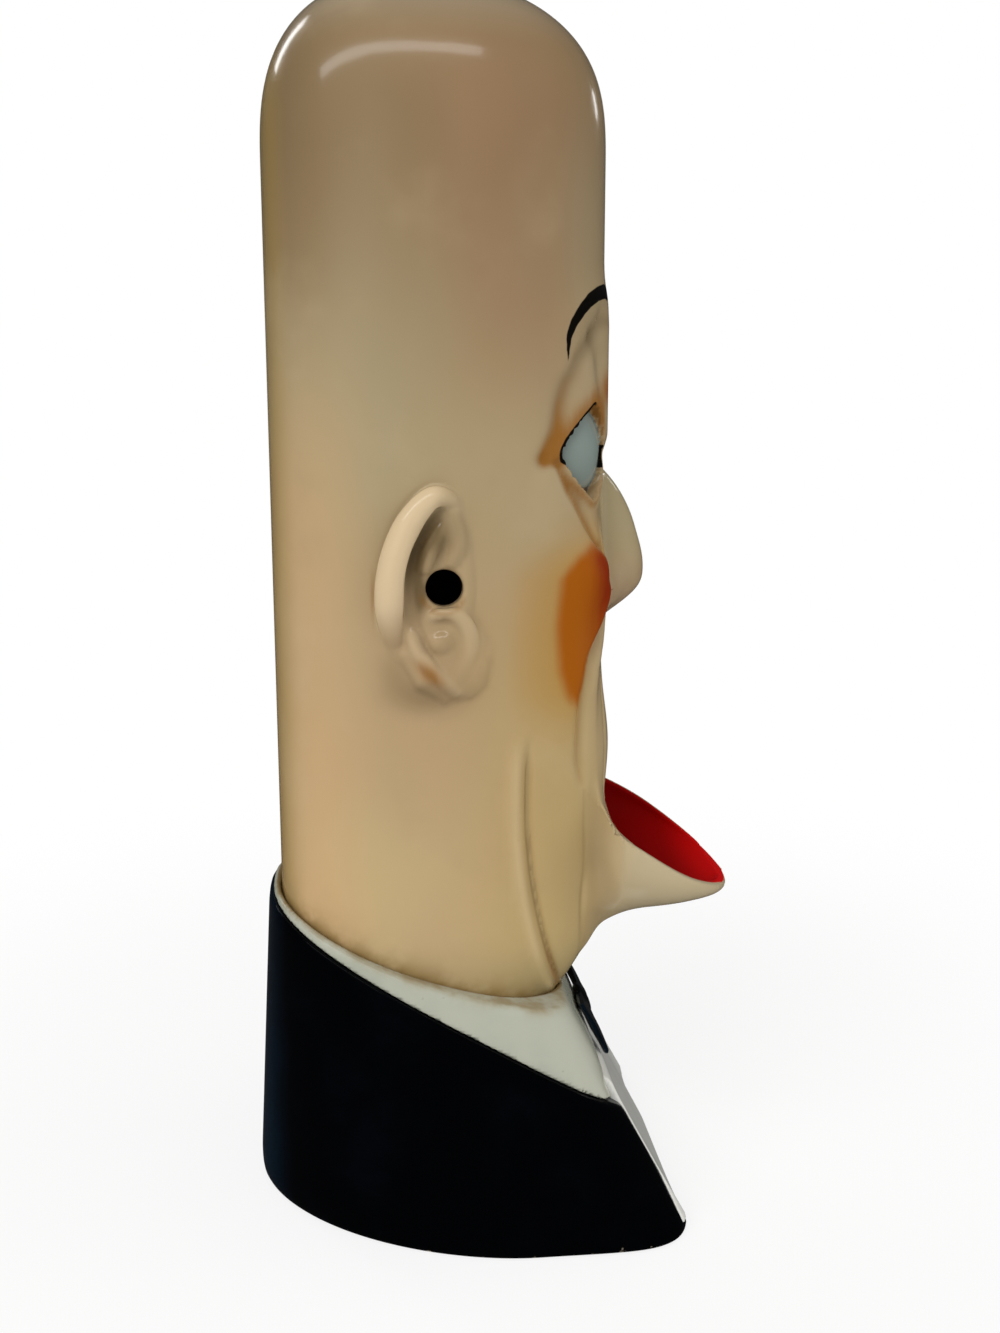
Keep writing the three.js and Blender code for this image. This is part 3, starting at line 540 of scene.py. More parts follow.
    def bow(self, x, y, z):
        """Two pleated wings and a knot that lie on the shirt front."""
        off, up = self.shirt_place(x, z)
        v, a = up - 36.2, np.abs(y)
        spread = np.clip((a - 2.0) / (self.tie_wide - 2.0), 0, 1)
        tall = 2.4 + (self.tie_tall - 2.4) * spread**0.8
        pleat = np.cos(v / np.maximum(tall, 1) * 5.2) * (1 - 0.6 * spread)
        thick = 0.52 + 0.20 * np.sin(spread * math.pi) + 0.12 * pleat
        wing = soft_max(np.abs(off + 0.3) - thick, np.abs(v) - tall, 0.7)
        wing = soft_max(wing, a - self.tie_wide + 0.08 * (self.tie_tall - np.abs(v)), 0.7)
        knot = ball(off, y, v, (-0.35, 0, 0), (1.15, 3.0, 3.2))
        return soft_min(wing, knot, 0.5)


def marks(*stops):
    """Grid lines from places with a spacing between each two."""
    lines = [np.array(stops[:1], float)]
    for low, step, high in zip(stops[0::2], stops[1::2], stops[2::2]):
        lines.append(np.linspace(low, high, max(2, math.ceil((high - low) / step) + 1))[1:])
    return np.concatenate(lines)


def slab(shape, axis, start, stop):
    """Index of a run of grid layers along one axis."""
    cut = [slice(None)] * len(shape)
    cut[axis] = slice(start, stop)
    return tuple(cut)


def wrap_field(field, edge, lines):
    """Closed quad skin of a field inside an edge: a vertex in each crossed cell, a quad on each crossed line.

    Gives vertices, quads and what each vertex lies on: 0 the field's skin, 1 the cut, 2 the line where
    they meet.
    """
    grid = [g.ravel() for g in np.meshgrid(*lines, indexing="ij")]
    shape = tuple(len(line) for line in lines)
    skin = field(*grid).reshape(shape)
    cut = edge(*grid).reshape(shape) if edge else np.full(shape, -1e3)
    del grid
    value = np.maximum(skin, cut)
    by_cut = cut > skin
    inside = value < 0
    cells = tuple(n - 1 for n in shape)
    count = np.zeros(cells, np.uint8)
    cut_count = np.zeros(cells, np.uint8)
    total = np.zeros(cells + (3,), np.float32)
    for axis in range(3):
        near, far = slab(shape, axis, None, -1), slab(shape, axis, 1, None)
        a, b = value[near], value[far]
        cross = inside[near] != inside[far]
        share = np.where(cross, a / np.where(cross, a - b, 1.0), 0.0)
        cut_cross = cross & np.where(inside[near], by_cut[far], by_cut[near])
        others = [k for k in range(3) if k != axis]
        for s in (0, 1):
            for r in (0, 1):
                corner = [slice(None)] * 3
                for k, o in zip(others, (s, r)):
                    corner[k] = slice(o, shape[k] - 1 + o)
                corner = tuple(corner)
                here = cross[corner]
                count += here
                cut_count += cut_cross[corner]
                total[..., axis] += share[corner]
                for k, o in zip(others, (s, r)):
                    total[..., k] += here * o
    used = count > 0
    index = np.full(cells, -1, np.int64)
    index[used] = np.arange(np.count_nonzero(used))
    at = np.nonzero(used)
    share = total[used] / count[used][:, None]
    points = np.stack([
        line[n] + part * (line[n + 1] - line[n]) for line, n, part in zip(lines, at, share.T)], 1)
    kind = np.where(cut_count[used] == 0, 0, np.where(cut_count[used] == count[used], 1, 2))
    quads = []
    for axis in range(3):
        near, far = slab(shape, axis, None, -1), slab(shape, axis, 1, None)
        place = np.array(np.nonzero(inside[near] != inside[far]))
        others = [k for k in range(3) if k != axis]
        turn = inside[tuple(place)]
        if axis == 1:
            turn = ~turn
        ring = []
        for s, r in ((0, 0), (1, 0), (1, 1), (0, 1)):
            cell = place.copy()
            cell[others[0]] -= 1 - s
            cell[others[1]] -= 1 - r
            ring.append(index[tuple(cell)])
        ring = np.stack(ring, 1)
        ring[~turn] = ring[~turn][:, ::-1]
        quads.append(ring)
    return points, np.concatenate(quads), kind


def slope_of(field, p, step=0.04):
    """Gradient of a field at points."""
    g = np.empty_like(p)
    for axis in range(3):
        d = np.zeros(3)
        d[axis] = step
        g[:, axis] = (field(*(p + d).T) - field(*(p - d).T)) / (2 * step)
    return g


def settle(field, edge, p, kind, step, rounds=4):
    """Moves each vertex onto the skin, the cut or the line where they meet."""
    p = p.copy()
    for _ in range(rounds):
        for flag in (0, 1, 2):
            at = np.nonzero(kind == flag)[0]
            if not len(at):
                continue
            here = p[at]
            if flag < 2:
                f = field if flag == 0 else edge
                g = slope_of(f, here)
                move = -(f(*here.T) / np.maximum((g * g).sum(1), 0.05))[:, None] * g
            else:
                g, h = slope_of(field, here), slope_of(edge, here)
                v, w = field(*here.T), edge(*here.T)
                gg, hh, gh = (g * g).sum(1), (h * h).sum(1), (g * h).sum(1)
                wide = np.maximum(gg * hh - gh * gh, 0.03)
                move = -((v * hh - w * gh) / wide)[:, None] * g - ((w * gg - v * gh) / wide)[:, None] * h
            size = np.linalg.norm(move, axis=1, keepdims=True)
            p[at] = here + move * np.minimum(1.0, 0.6 * step / np.maximum(size, 1e-9))
    return p


def piece_mesh(name, field, edge, *lines):
    """A closed sculpted mesh with the field's own normals, and its points in millimetres."""
    points, quads, kind = wrap_field(field, edge, lines)
    if not len(points):
        raise RuntimeError(f"{name} came out empty")
    points = settle(field, edge, points, kind, min(np.diff(line).min() for line in lines))
    normals = slope_of(field, points)
    normals /= np.linalg.norm(normals, axis=1, keepdims=True) + 1e-9
    mesh = bpy.data.meshes.new(name)
    mesh.vertices.add(len(points))
    mesh.vertices.foreach_set("co", (points * MM).astype(np.float32).ravel())
    mesh.loops.add(quads.size)
    mesh.loops.foreach_set("vertex_index", quads.astype(np.int32).ravel())
    mesh.polygons.add(len(quads))
    mesh.polygons.foreach_set("loop_start", np.arange(0, quads.size, 4, dtype=np.int32))
    mesh.update(calc_edges=True)
    mesh.validate()
    mesh.shade_smooth()
    loops = normals[quads.ravel()]
    if edge:
        face_kind = kind[quads]
        flat = (face_kind == 1).any(1)
        turn = slope_of(edge, points[quads[flat].ravel()])
        turn /= np.linalg.norm(turn, axis=1, keepdims=True) + 1e-9
        loops.reshape(-1, 4, 3)[flat] = turn.reshape(-1, 4, 3)
    if len(mesh.loops) == len(loops):
        mesh.normals_split_custom_set(loops.tolist())
    return mesh, points, normals


def add_piece(name, mesh, node, material):
    """Adds a finished mesh as the visible piece for one CAD node."""
    piece = bpy.data.objects.new(name, mesh)
    bpy.context.scene.collection.objects.link(piece)
    mesh.materials.clear()
    mesh.materials.append(material)
    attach(piece, "root")
    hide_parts(node)
    return piece


def store(mesh, **values):
    """Keeps a number at each vertex under a name."""
    for name, numbers in values.items():
        layer = mesh.attributes.new(name, "FLOAT", "POINT")
        layer.data.foreach_set("value", np.asarray(numbers, np.float32))


class Flow:
    """A value in a node tree. Arithmetic on it adds the nodes for it."""

    def __init__(self, tree, socket):
        self.tree = tree
        self.socket = socket

    def node(self, kind, settings=None, sockets=None, output=0):
        made = self.tree.nodes.new(kind)
        for key, value in (settings or {}).items():
            setattr(made, key, value)
        for key, value in (sockets or {}).items():
            if isinstance(value, Flow):
                self.tree.links.new(value.socket, made.inputs[key])
            else:
                made.inputs[key].default_value = value
        return Flow(self.tree, made.outputs[output])

    def sum(self, operation, *values, clamp=False):
        settings = {"operation": operation, "use_clamp": clamp}
        return self.node("ShaderNodeMath", settings, dict(enumerate(values)))

    def __add__(self, other):
        return self.sum("ADD", self, other)

    def __radd__(self, other):
        return self.sum("ADD", other, self)

    def __sub__(self, other):
        return self.sum("SUBTRACT", self, other)

    def __rsub__(self, other):
        return self.sum("SUBTRACT", other, self)

    def __mul__(self, other):
        return self.sum("MULTIPLY", self, other)

    def __rmul__(self, other):
        return self.sum("MULTIPLY", other, self)

    def __truediv__(self, other):
        return self.sum("DIVIDE", self, other)

    def __rtruediv__(self, other):
        return self.sum("DIVIDE", other, self)

    def __pow__(self, other):
        return self.sum("POWER", self, other)

    def __rpow__(self, other):
        return self.sum("POWER", other, self)

    def __neg__(self):
        return self.sum("MULTIPLY", self, -1.0)

    def size(self):
        return self.sum("ABSOLUTE", self)

    def most(self, other):
        return self.sum("MAXIMUM", self, other)

    def ramp(self, low, high):
        """0 below low and 1 above high, smoothly between; high may lie below low."""
        return self.node("ShaderNodeMapRange", {"interpolation_type": "SMOOTHSTEP"},
                         {"Value": self, "From Min": low, "From Max": high, "To Min": 0.0, "To Max": 1.0})

    def blend(self, under, over, share):
        """One colour with another laid over it by a share; a colour is a flow or three numbers."""
        under, over = (c if isinstance(c, Flow) else (*c, 1.0) for c in (under, over))
        return self.node("ShaderNodeMix", {"data_type": "RGBA"}, {"Factor": share, 6: under, 7: over}, 2)

    def paint(self, over, share):
        """This colour with another laid over it by a share."""
        return self.blend(self, over, share)

    def washed(self, *layers):
        """This colour with others laid over it in turn, each by its share."""
        base = self
        for over, share in layers:
            base = base.paint(over, share)
        return base

    def attribute(self, name):
        return self.node("ShaderNodeAttribute", {"attribute_name": name}, output=2)

    def noise(self, place, scale, detail=3.0, rough=0.55):
        return self.node("ShaderNodeTexNoise", None,
                         {"Vector": place, "Scale": scale, "Detail": detail, "Roughness": rough}, 0)

    def stretched(self, place, scale):
        return self.node("ShaderNodeVectorMath", {"operation": "MULTIPLY"}, {0: place, 1: scale})

    def parts(self, place):
        made = self.node("ShaderNodeSeparateXYZ", None, {0: place})
        outputs = made.socket.node.outputs
        return tuple(Flow(self.tree, o) for o in outputs)


class Finish:
    """A new glaze material with its object coordinates to hand."""

    def __init__(self, name):
        self.material = bpy.data.materials.new(name)
        self.material.use_nodes = True
        self.tree = self.material.node_tree
        self.shader = self.tree.nodes["Principled BSDF"]
        self.flow = Flow(self.tree, None)
        self.place = self.flow.node("ShaderNodeTexCoord", output=3)
        self.x, self.y, self.z = self.flow.parts(self.place)

    def set(self, **values):
        for key, value in values.items():
            socket = self.shader.inputs[key.replace("_", " ")]
            if isinstance(value, Flow):
                self.tree.links.new(value.socket, socket)
            else:
                socket.default_value = value
        return self.material

    def over(self, shader, share):
        """Lays another shader over what the surface shows, by a share."""
        surface = self.tree.nodes["Material Output"].inputs["Surface"]
        shown = Flow(self.tree, surface.links[0].from_socket)
        both = self.flow.node("ShaderNodeMixShader", None, {0: share, 1: shown, 2: shader})
        self.tree.links.new(both.socket, surface)
        return self.material

    def bump(self, height, distance, strength=1.0):
        return self.flow.node("ShaderNodeBump", None,
                              {"Strength": strength, "Distance": distance, "Height": height})


def flesh_washes(f, colours, cloud, blotch):
    """Flesh glaze from the jaw up to the darker crown, with the thin washes that lie over it, painted light and
    shade among them.
    """
    flow, x, z = f.flow, f.x, f.z
    green = flow.noise(flow.stretched(f.place, (1.0, 1.0, 0.8)), 17.0, 2.0)
    soil = flow.noise(f.place, 150.0, 3.0).ramp(0.32, 0.60)
    snout = flow.attribute("snout")
    height = z + (blotch - 0.5) * 0.030
    tone = 1.0 - 0.5 * height.ramp(0.140, 0.195)
    temple = x.ramp(-0.018, 0.002) * x.ramp(0.018, 0.006) * z.ramp(0.138, 0.168) * z.ramp(0.214, 0.194)
    cheek = x.ramp(-0.014, 0.008) * x.ramp(0.021, 0.012) * z.ramp(0.128, 0.095)
    base = flow.blend(colours.flesh_low, colours.flesh_mid, height.ramp(0.055, 0.115))
    return base.washed(
        (colours.flesh_top, height.ramp(0.125, 0.200)),
        # Clouds of green and pink, and the brown temples
        ((0.33, 0.31, 0.19), green.ramp(0.46, 0.66) * 0.38 * tone),
        ((0.46, 0.29, 0.16), green.ramp(0.50, 0.32) * 0.40 * tone),
        ((0.29, 0.16, 0.085), temple * 0.45),
        # Back of the crown, its pale top as a painted reflection of the sky, a painted highlight on the nape and
        # lower back of the head, and the edge of the back
        ((0.14, 0.095, 0.045), x.ramp(-0.020, -0.040) * z.ramp(0.145, 0.195) * 0.65),
        ((0.40, 0.345, 0.255), z.ramp(0.203, 0.217) * 0.6),
        ((0.60, 0.38, 0.19), x.ramp(-0.018, -0.034) * z.ramp(0.172, 0.120) * 0.55),
        ((0.33, 0.22, 0.055), x.ramp(-0.0335, -0.0385) * 0.55),
        # Yellow cheek, olive throat and pale lip
        ((0.41, 0.30, 0.09), cheek * 0.36),
        ((0.36, 0.29, 0.15), z.ramp(0.056, 0.044) * x.ramp(0.022, 0.012) * 0.5),
        ((0.54, 0.46, 0.31), x.ramp(0.014, 0.026) * z.ramp(0.080, 0.070) * 0.65),
        # Light and dark mottle, painted highlights on the crests of the ears and the jaw's ridge, and painted shade
        # in the creases
        ((0.60, 0.47, 0.29), cloud.ramp(0.52, 0.78) * 0.16),
        ((0.25, 0.19, 0.11), cloud.ramp(0.48, 0.26) * 0.16),
        ((0.70, 0.54, 0.34), flow.attribute("pale") * 0.85),
        # Painted shade deep in the creases and hollows
        ((0.20, 0.13, 0.055), flow.attribute("cavity").ramp(0.08, 0.65) * 0.50),
        # Bridge and tip of the nose, glow round the rouge, dirt over the collar and painted shadows in creases and
        # hollows
        ((0.33, 0.29, 0.165), snout * z.ramp(0.114, 0.127) * 0.60),
        ((0.32, 0.225, 0.14), snout * z.ramp(0.124, 0.112) * 0.60),
        ((0.40, 0.20, 0.02), flow.attribute("blush") * 0.6),
        ((0.27, 0.175, 0.06), flow.attribute("grime") * soil * 0.9),
        ((0.115, 0.075, 0.030), flow.attribute("painted_shadow").ramp(0.0, 1.0) * 0.80),
    )


def mouth_enamel(f, colours, cloud):
    """Red enamel, darker in the throat and brighter at the lip's tip."""
    base = f.flow.blend(colours.mouth_red, (0.16, 0.0, 0.0), f.x.ramp(0.038, 0.016) * 0.85)
    return base.washed(
        ((0.60, 0.0, 0.0), f.x.ramp(0.036, 0.043) * 0.8),
        ((0.44, 0.0, 0.0), cloud.ramp(0.52, 0.78) * 0.25),
    )


def glaze_pits(f):
    """Share of the few pinholes in the glaze."""
    cells = f.flow.node("ShaderNodeTexVoronoi", {"feature": "F1"},
                        {"Vector": f.place, "Scale": 115.0, "Randomness": 1.0})
    chance = f.flow.parts(Flow(f.tree, cells.socket.node.outputs["Color"]))[0]
    return cells.ramp(0.085, 0.045) * chance.ramp(0.90, 0.93)


def flesh_porcelain(colours):
    """Flesh glaze with airbrushed colour, painted light and shade, painted eyes and brows and a red enamelled
    mouth.
    """
    f = Finish("flesh_porcelain")
    flow, place = f.flow, f.place
    cloud = flow.noise(place, 38.0, 4.0)
    blotch = flow.noise(place, 11.0, 2.0)
    streak = flow.noise(flow.stretched(place, (520.0, 520.0, 60.0)), 1.0, 2.0) - 0.5
    fray = (flow.noise(place, 900.0, 2.0) - 0.5) * 0.16
    eye = flow.attribute("eye")
    ball_shade = flow.blend(colours.eye_white, (0.16, 0.19, 0.19), eye.ramp(-2.4, 0.0) * 0.6)
    ochre = (flow.attribute("ochre") * (0.80 + 0.6 * streak)).ramp(0.05, 0.85)
    rouge = flow.attribute("rouge")
    rouge = (rouge + streak * 0.24 * rouge.ramp(0.0, 0.4)).ramp(0.05, 0.90)
    deep = (flow.attribute("deep_rouge") * (0.95 + 0.7 * streak)).ramp(0.0, 0.95)
    line = (flow.attribute("line") + fray).ramp(0.09, -0.09)
    red = (flow.attribute("red") + fray).ramp(-0.09, 0.09)
    bare = flow.attribute("bare").ramp(0.2, 0.8)
    pit = glaze_pits(f)
    base = flesh_washes(f, colours, cloud, blotch).washed(
        (colours.ochre, ochre * 0.92),
        (colours.rouge, rouge * 0.95),
        (colours.rouge_deep, deep * 0.95),
        (ball_shade, (eye + fray).ramp(0.10, -0.10)),
        (colours.line, line),
        ((0.055, 0.038, 0.020), pit * 0.8),
        (mouth_enamel(f, colours, cloud), red),
        ((0.115, 0.085, 0.055), bare),
    )
    rough = 0.20 + (cloud - 0.5) * 0.10 + bare * 0.45 + pit * 0.3
    skin = f.bump(flow.noise(place, 260.0, 2.0) + 0.35 * blotch - pit * 0.6, 0.00012, 0.35)
    f.set(Base_Color=base, Roughness=rough, Coat_Weight=0.30, Coat_Roughness=0.09, Specular_IOR_Level=0.28,
          Normal=skin)
    enamels = flow.node("ShaderNodeBsdfPrincipled", None, {
        "Base Color": base, "Roughness": 0.5, "Specular IOR Level": 0.04, "Normal": skin})
    return f.over(enamels, red.most(line).most(deep).most((rouge * 0.8).most(ochre * 0.7)))


def white_porcelain(colours):
    """Off-white glaze with dirt and painted shade in its crevices and a faint grey mottle."""
    f = Finish("white_porcelain")
    flow, place = f.flow, f.place
    cloud = flow.noise(place, 55.0, 4.0)
    speck = flow.noise(place, 420.0, 2.0)
    soil = flow.noise(place, 150.0, 3.0).ramp(0.40, 0.66)
    dirt_and_shade = flow.attribute("cavity") + (cloud - 0.5) * 0.35
    base = flow.blend(colours.white, (0.29, 0.33, 0.26), cloud.ramp(0.42, 0.75) * 0.5)
    base = base.washed(
        # Dirt and painted shade in the crevices
        ((0.30, 0.19, 0.060), dirt_and_shade.ramp(0.16, 0.75) * 0.72),
        # Painted light: the shirt front's lighter copy of the white glaze
        (colours.shirt, flow.attribute("front")),
        ((0.26, 0.18, 0.07), flow.attribute("grime") * soil * 0.65),
        ((0.08, 0.07, 0.05), speck.ramp(0.70, 0.80) * 0.35),
    )
    rough = 0.22 + (cloud - 0.5) * 0.14
    return f.set(Base_Color=base, Roughness=rough, Coat_Weight=0.3, Coat_Roughness=0.10,
                 Specular_IOR_Level=0.42, Normal=f.bump(flow.noise(place, 300.0, 2.0), 0.00012, 0.30))


def coat_porcelain(colours):
    """Blue-black glaze that breaks to navy on edges and to bare clay on the foot's chips, with a painted navy sheen
    down its back.
    """
    f = Finish("coat_porcelain")
    flow, place, z = f.flow, f.place, f.z
    cloud = flow.noise(place, 60.0, 4.0)
    chip = flow.noise(place, 330.0, 3.0)
    thin = (flow.attribute("edge") + (chip - 0.5) * 0.5).ramp(0.55, 1.0)
    # Painted reflection: a navy sheen down the back of the coat
    back = (f.x + (cloud - 0.5) * 0.004).ramp(-0.0375, -0.0445)
    wear_and_highlight = (chip - z * 130.0 + (cloud - 0.5) * 0.6).ramp(0.57, 0.66) * z.ramp(0.0020, 0.0010)
    base = flow.blend(colours.coat, (0.0016, 0.0024, 0.0042), cloud.ramp(0.48, 0.80) * 0.55)
    base = base.washed(
        ((0.003, 0.009, 0.016), thin * 0.8),
        # painted navy sheen down the back
        ((0.0018, 0.0090, 0.0195), back * 0.9),
        (colours.clay, wear_and_highlight),
    )
    rough = 0.16 + (cloud - 0.5) * 0.10 + wear_and_highlight * 0.5
    return f.set(Base_Color=base, Roughness=rough, Coat_Weight=thin * 0.30, Coat_Roughness=0.08,
                 Specular_IOR_Level=0.07,
                 Normal=f.bump(flow.noise(place, 240.0, 2.0) - wear_and_highlight * 0.7, 0.00015, 0.35))


def foot_clay(colours):
    """Unglazed, slightly soiled clay of the base plate."""
    f = Finish("foot_clay")
    flow, place = f.flow, f.place
    cloud = flow.noise(place, 70.0, 5.0)
    grit = flow.noise(place, 900.0, 3.0)
    base = flow.blend(colours.clay, (0.34, 0.26, 0.17), cloud.ramp(0.45, 0.75) * 0.6)
    base = base.paint((0.10, 0.08, 0.06), grit.ramp(0.66, 0.78) * 0.5)
    rough = 0.80 + (grit - 0.5) * 0.2
    return f.set(Base_Color=base, Roughness=rough, Normal=f.bump(grit + cloud, 0.0003, 0.5))


def glaze(name):
    """The named material, made on first use."""
    makers = {made.__name__: made for made in (flesh_porcelain, white_porcelain, coat_porcelain, foot_clay)}
    return bpy.data.materials.get(name) or makers[name](bpy.context.scene.vessel_colours)


def face_lines(q, z, eye):
    """Distance to the painted brow, lash and pupil, negative on the paint."""
    brow, along = line_gap(q, z, BROW_LINE)
    brow = brow - np.interp(along, *BROW_STROKE)
    lash = np.abs(eye - 0.3) + 0.3 - ramp(z, 136.6, 138.0) * ramp(q, 15.0, 17.5) - 0.15 * swell(q, 24.4, 1.6)
    pupil = np.hypot(q - 11.0, z - 138.3) - 2.0
    return np.minimum(np.minimum(brow, lash), np.where(eye < 0.4, pupil, 9.0))


def face_ochre_and_shadows(q, z, eye):
    """Ochre that pools round the eyes and in the folds, and painted shadow in the deeper creases and in two spots
    under the eye.
    """
    crease, inner, bag, fold, pleat = (line_gap(q, z, line)[0] for line in (
        CREASE_LINE, INNER_CREASE, BAG_LINE, FOLD_LINE, PLEAT_LINE))
    lid = np.clip(eye - 0.5, 0, None)
    ochre = 0.90 * swell(lid, 0.0, 3.1) * ramp(z, 136.5, 139.5) * ramp(q, 9, 13) * (eye > 0.0)
    ochre += 0.65 * swell(lid, 0.7, 1.0) * ramp(-z, -137, -133) * (eye > 0.0) + 0.75 * swell(bag, 0.0, 0.9)
    ochre += 0.75 * spot(q, z, (26.6, 138.2), (2.4, 1.2)) + 0.95 * spot(q, z, (9.0, 150.0), (4.2, 3.6))
    ochre += 0.40 * swell(fold, 0.0, 0.9) + 0.55 * swell(crease, 0.0, 1.6) * ramp(-z, -158, -146)
    # Painted shadow in the creases over the eye and beside the mouth, and under the eye
    painted_shadow = 0.48 * swell(crease, 0.0, 1.8) + 0.30 * swell(inner, 0.0, 1.6) + 0.40 * swell(pleat, 0.0, 0.8)
    painted_shadow += 0.85 * spot(q, z, (11.6, 128.6), (2.2, 3.2)) + 0.70 * spot(q, z, (9.2, 125.6), (1.8, 3.0))
    return ochre, painted_shadow


def ear_ochre_shadows_and_highlights(clay, x, y, z):
    """Share of the ears, and the ochre on them, the painted shadows in and under them and the painted highlights on
    their crests.
    """
    u, w = x - clay.vent_x, z - clay.vent_up
    side = ramp(np.abs(y), 18, 22) * (np.abs(u) < 16) * (np.abs(w) < 25)
    along, aside = (u + 2.6 - w - 14.2) * 0.707, (u + 2.6 + w + 14.2) * 0.707
    ochre = 0.15 * spot(u, w, (-3.9, -1.2), (0.9, 2.6)) + 0.85 * spot(along, aside, (0.0, 0.0), (3.4, 1.5))
    ochre += 0.45 * swell(np.hypot(u + 0.3, w + 0.4), 3.6, 0.7) * ramp(-w, 0.0, 2.5)
    ochre += 0.50 * spot(u, w, (-11.9, -1.0), (0.5, 5.0))
    # Painted shadows in and under the ear
    painted_shadow = side * sum(strength * spot(u, w, middle, radii) for strength, middle, radii in EAR_PAINTED_SHADOWS)
    pale = np.zeros(len(x))
    near = side > 0.0
    u, w, off = u[near], w[near], clay.skull(x[near], y[near], z[near]) * EAR_LIFT
    helix, groove, loop, brim = (np.array(roll(u, w, off, beads)) for beads in (
        clay.helix, clay.groove, clay.loop, clay.brim))
    # More painted shadow deep in the groove and in the bowl behind the helix
    depth = swell(np.clip(groove, 0, None), 0.0, 0.55) * (0.22 + 0.60 * swell(w, 6.0, 5.0))
    painted_shadow[near] += depth + 0.28 * spot(u, w, (-2.4, 2.0), (4.2, 8.0)) * ramp(helix, 0.1, 0.8)
    # Painted highlight along the helix's crest, fading towards its lower end and its front, and a weaker one on the
    # crests of the loop and brim
    wear_and_highlight = swell(np.clip(helix, 0, None), 0.0, 0.35) * ramp(groove, 0.2, 1.1)
    wear_and_highlight *= ramp(w, -10.0, -2.0) * (1 - 0.7 * ramp(u, -2.5, 1.5))
    pale[near] = wear_and_highlight + 0.30 * swell(np.clip(np.minimum(loop, brim), 0, None), 0.0, 0.3)
    return side, side * ochre, painted_shadow, pale


def cheek_colour(q, z, nose):
    """Rouge on the cheek, the deep red at its front and between the brows, and the blush round it."""
    back, front, top = np.interp(z, *ROUGE_BACK), np.interp(z, *ROUGE_FRONT), np.interp(q, *ROUGE_TOP)
    beside = ramp(q - front, -0.6, 1.0)
    rouge = ramp(-q, -back - 2.2, -back + 3.0) * ramp(z, 92.0, 98.5) * ramp(-z, -top - 3.2, -top + 3.2)
    rouge *= beside * ramp(nose, 0.4, 1.4)
    deep = rouge * (0.50 * ramp(-q, -24.0, -15.0) + 0.70 * swell(q, 13.0, 5.0) * swell(z, 118.5, 7.5))
    deep += 0.55 * spot(q, z, (7.5, 149.8), (3.4, 3.0))
    blush = ramp(-q, -back - 14.0, -back + 2.0) * ramp(z, 86.0, 100.0) * ramp(-z, -134.0, -119.0)
    return rouge, deep, blush * beside * ramp(nose, 0.4, 1.6)


def paint_layers(clay, mesh, p, n):
    """Stores where the painter's colours and the painted light and shade lie on a piece of the head, as plain
    numbers at its points.
    """
    x, y, z = p.T
    a, q = np.abs(y), clay.around(x, y)
    face = ramp(x, -1.0, 4.0)
    behind = np.where(x > 0.0, 0.0, 50.0)
    eye = clay.eye_edge(q, z)
    white = np.maximum(eye, 2.0 * (ball(x, a, z, *EYEBALL) - 0.28))
    nose = np.full(len(x), 9.0)
    at = clay.by_nose(x, a, z)
    nose[at] = clay.nose(x[at], y[at], z[at])
    side, ear_ochre, ear_painted_shadow, pale = ear_ochre_shadows_and_highlights(clay, x, y, z)
    ochre, painted_shadow = face_ochre_and_shadows(q, z, eye)
    rouge, deep, blush = cheek_colour(q, z, nose)
    # Painted shade in the crevices, half as strong on the ears
    cavity = np.clip((1.3 - clay.body(*(p + 1.3 * n).T)) / 1.3, 0, 1) * (1 - 0.5 * side)
    s = x - clay.jaw_line(z)
    jaw = ramp(a, 12, 17)
    crease = 0.6 * jaw * swell(s, 0.4, 0.9) * ramp(-z, -60, -48)
    # Painted highlight along the ridge behind the jaw crease
    pale += 0.30 * jaw * swell(s, -1.8, 1.0) * ramp(z, 46, 54) * ramp(-z, -92, -84)
    red = np.minimum(0.85 - clay.mouth_void(x, y, z), -clay.scoop(x, y, z, 0.0) - 0.45)
    red = np.where((x > 5.5) & (z < clay.mouth + 8.0), red, -9.0)
    grime = np.exp(-np.clip(z - clay.collar_top(x), 0, None) / 2.0) * (z < 64)
    bare = ramp(-clay.skull(x, y, z), 1.2, 2.2) * (red < -1.0)
    shares = {"ochre": face * ochre + ear_ochre + crease, "painted_shadow": face * painted_shadow + ear_painted_shadow,
              "rouge": face * rouge, "deep_rouge": face * deep, "blush": face * blush, "grime": grime, "bare": bare,
              "snout": 1 - ramp(nose, 0.3, 1.6), "cavity": cavity}
    store(mesh, line=face_lines(q, z, eye) + behind, eye=white + behind, red=red,
          pale=np.clip(pale, 0, 1) * (1 - cavity),
          **{name: np.clip(share, 0, 1) for name, share in shares.items()})


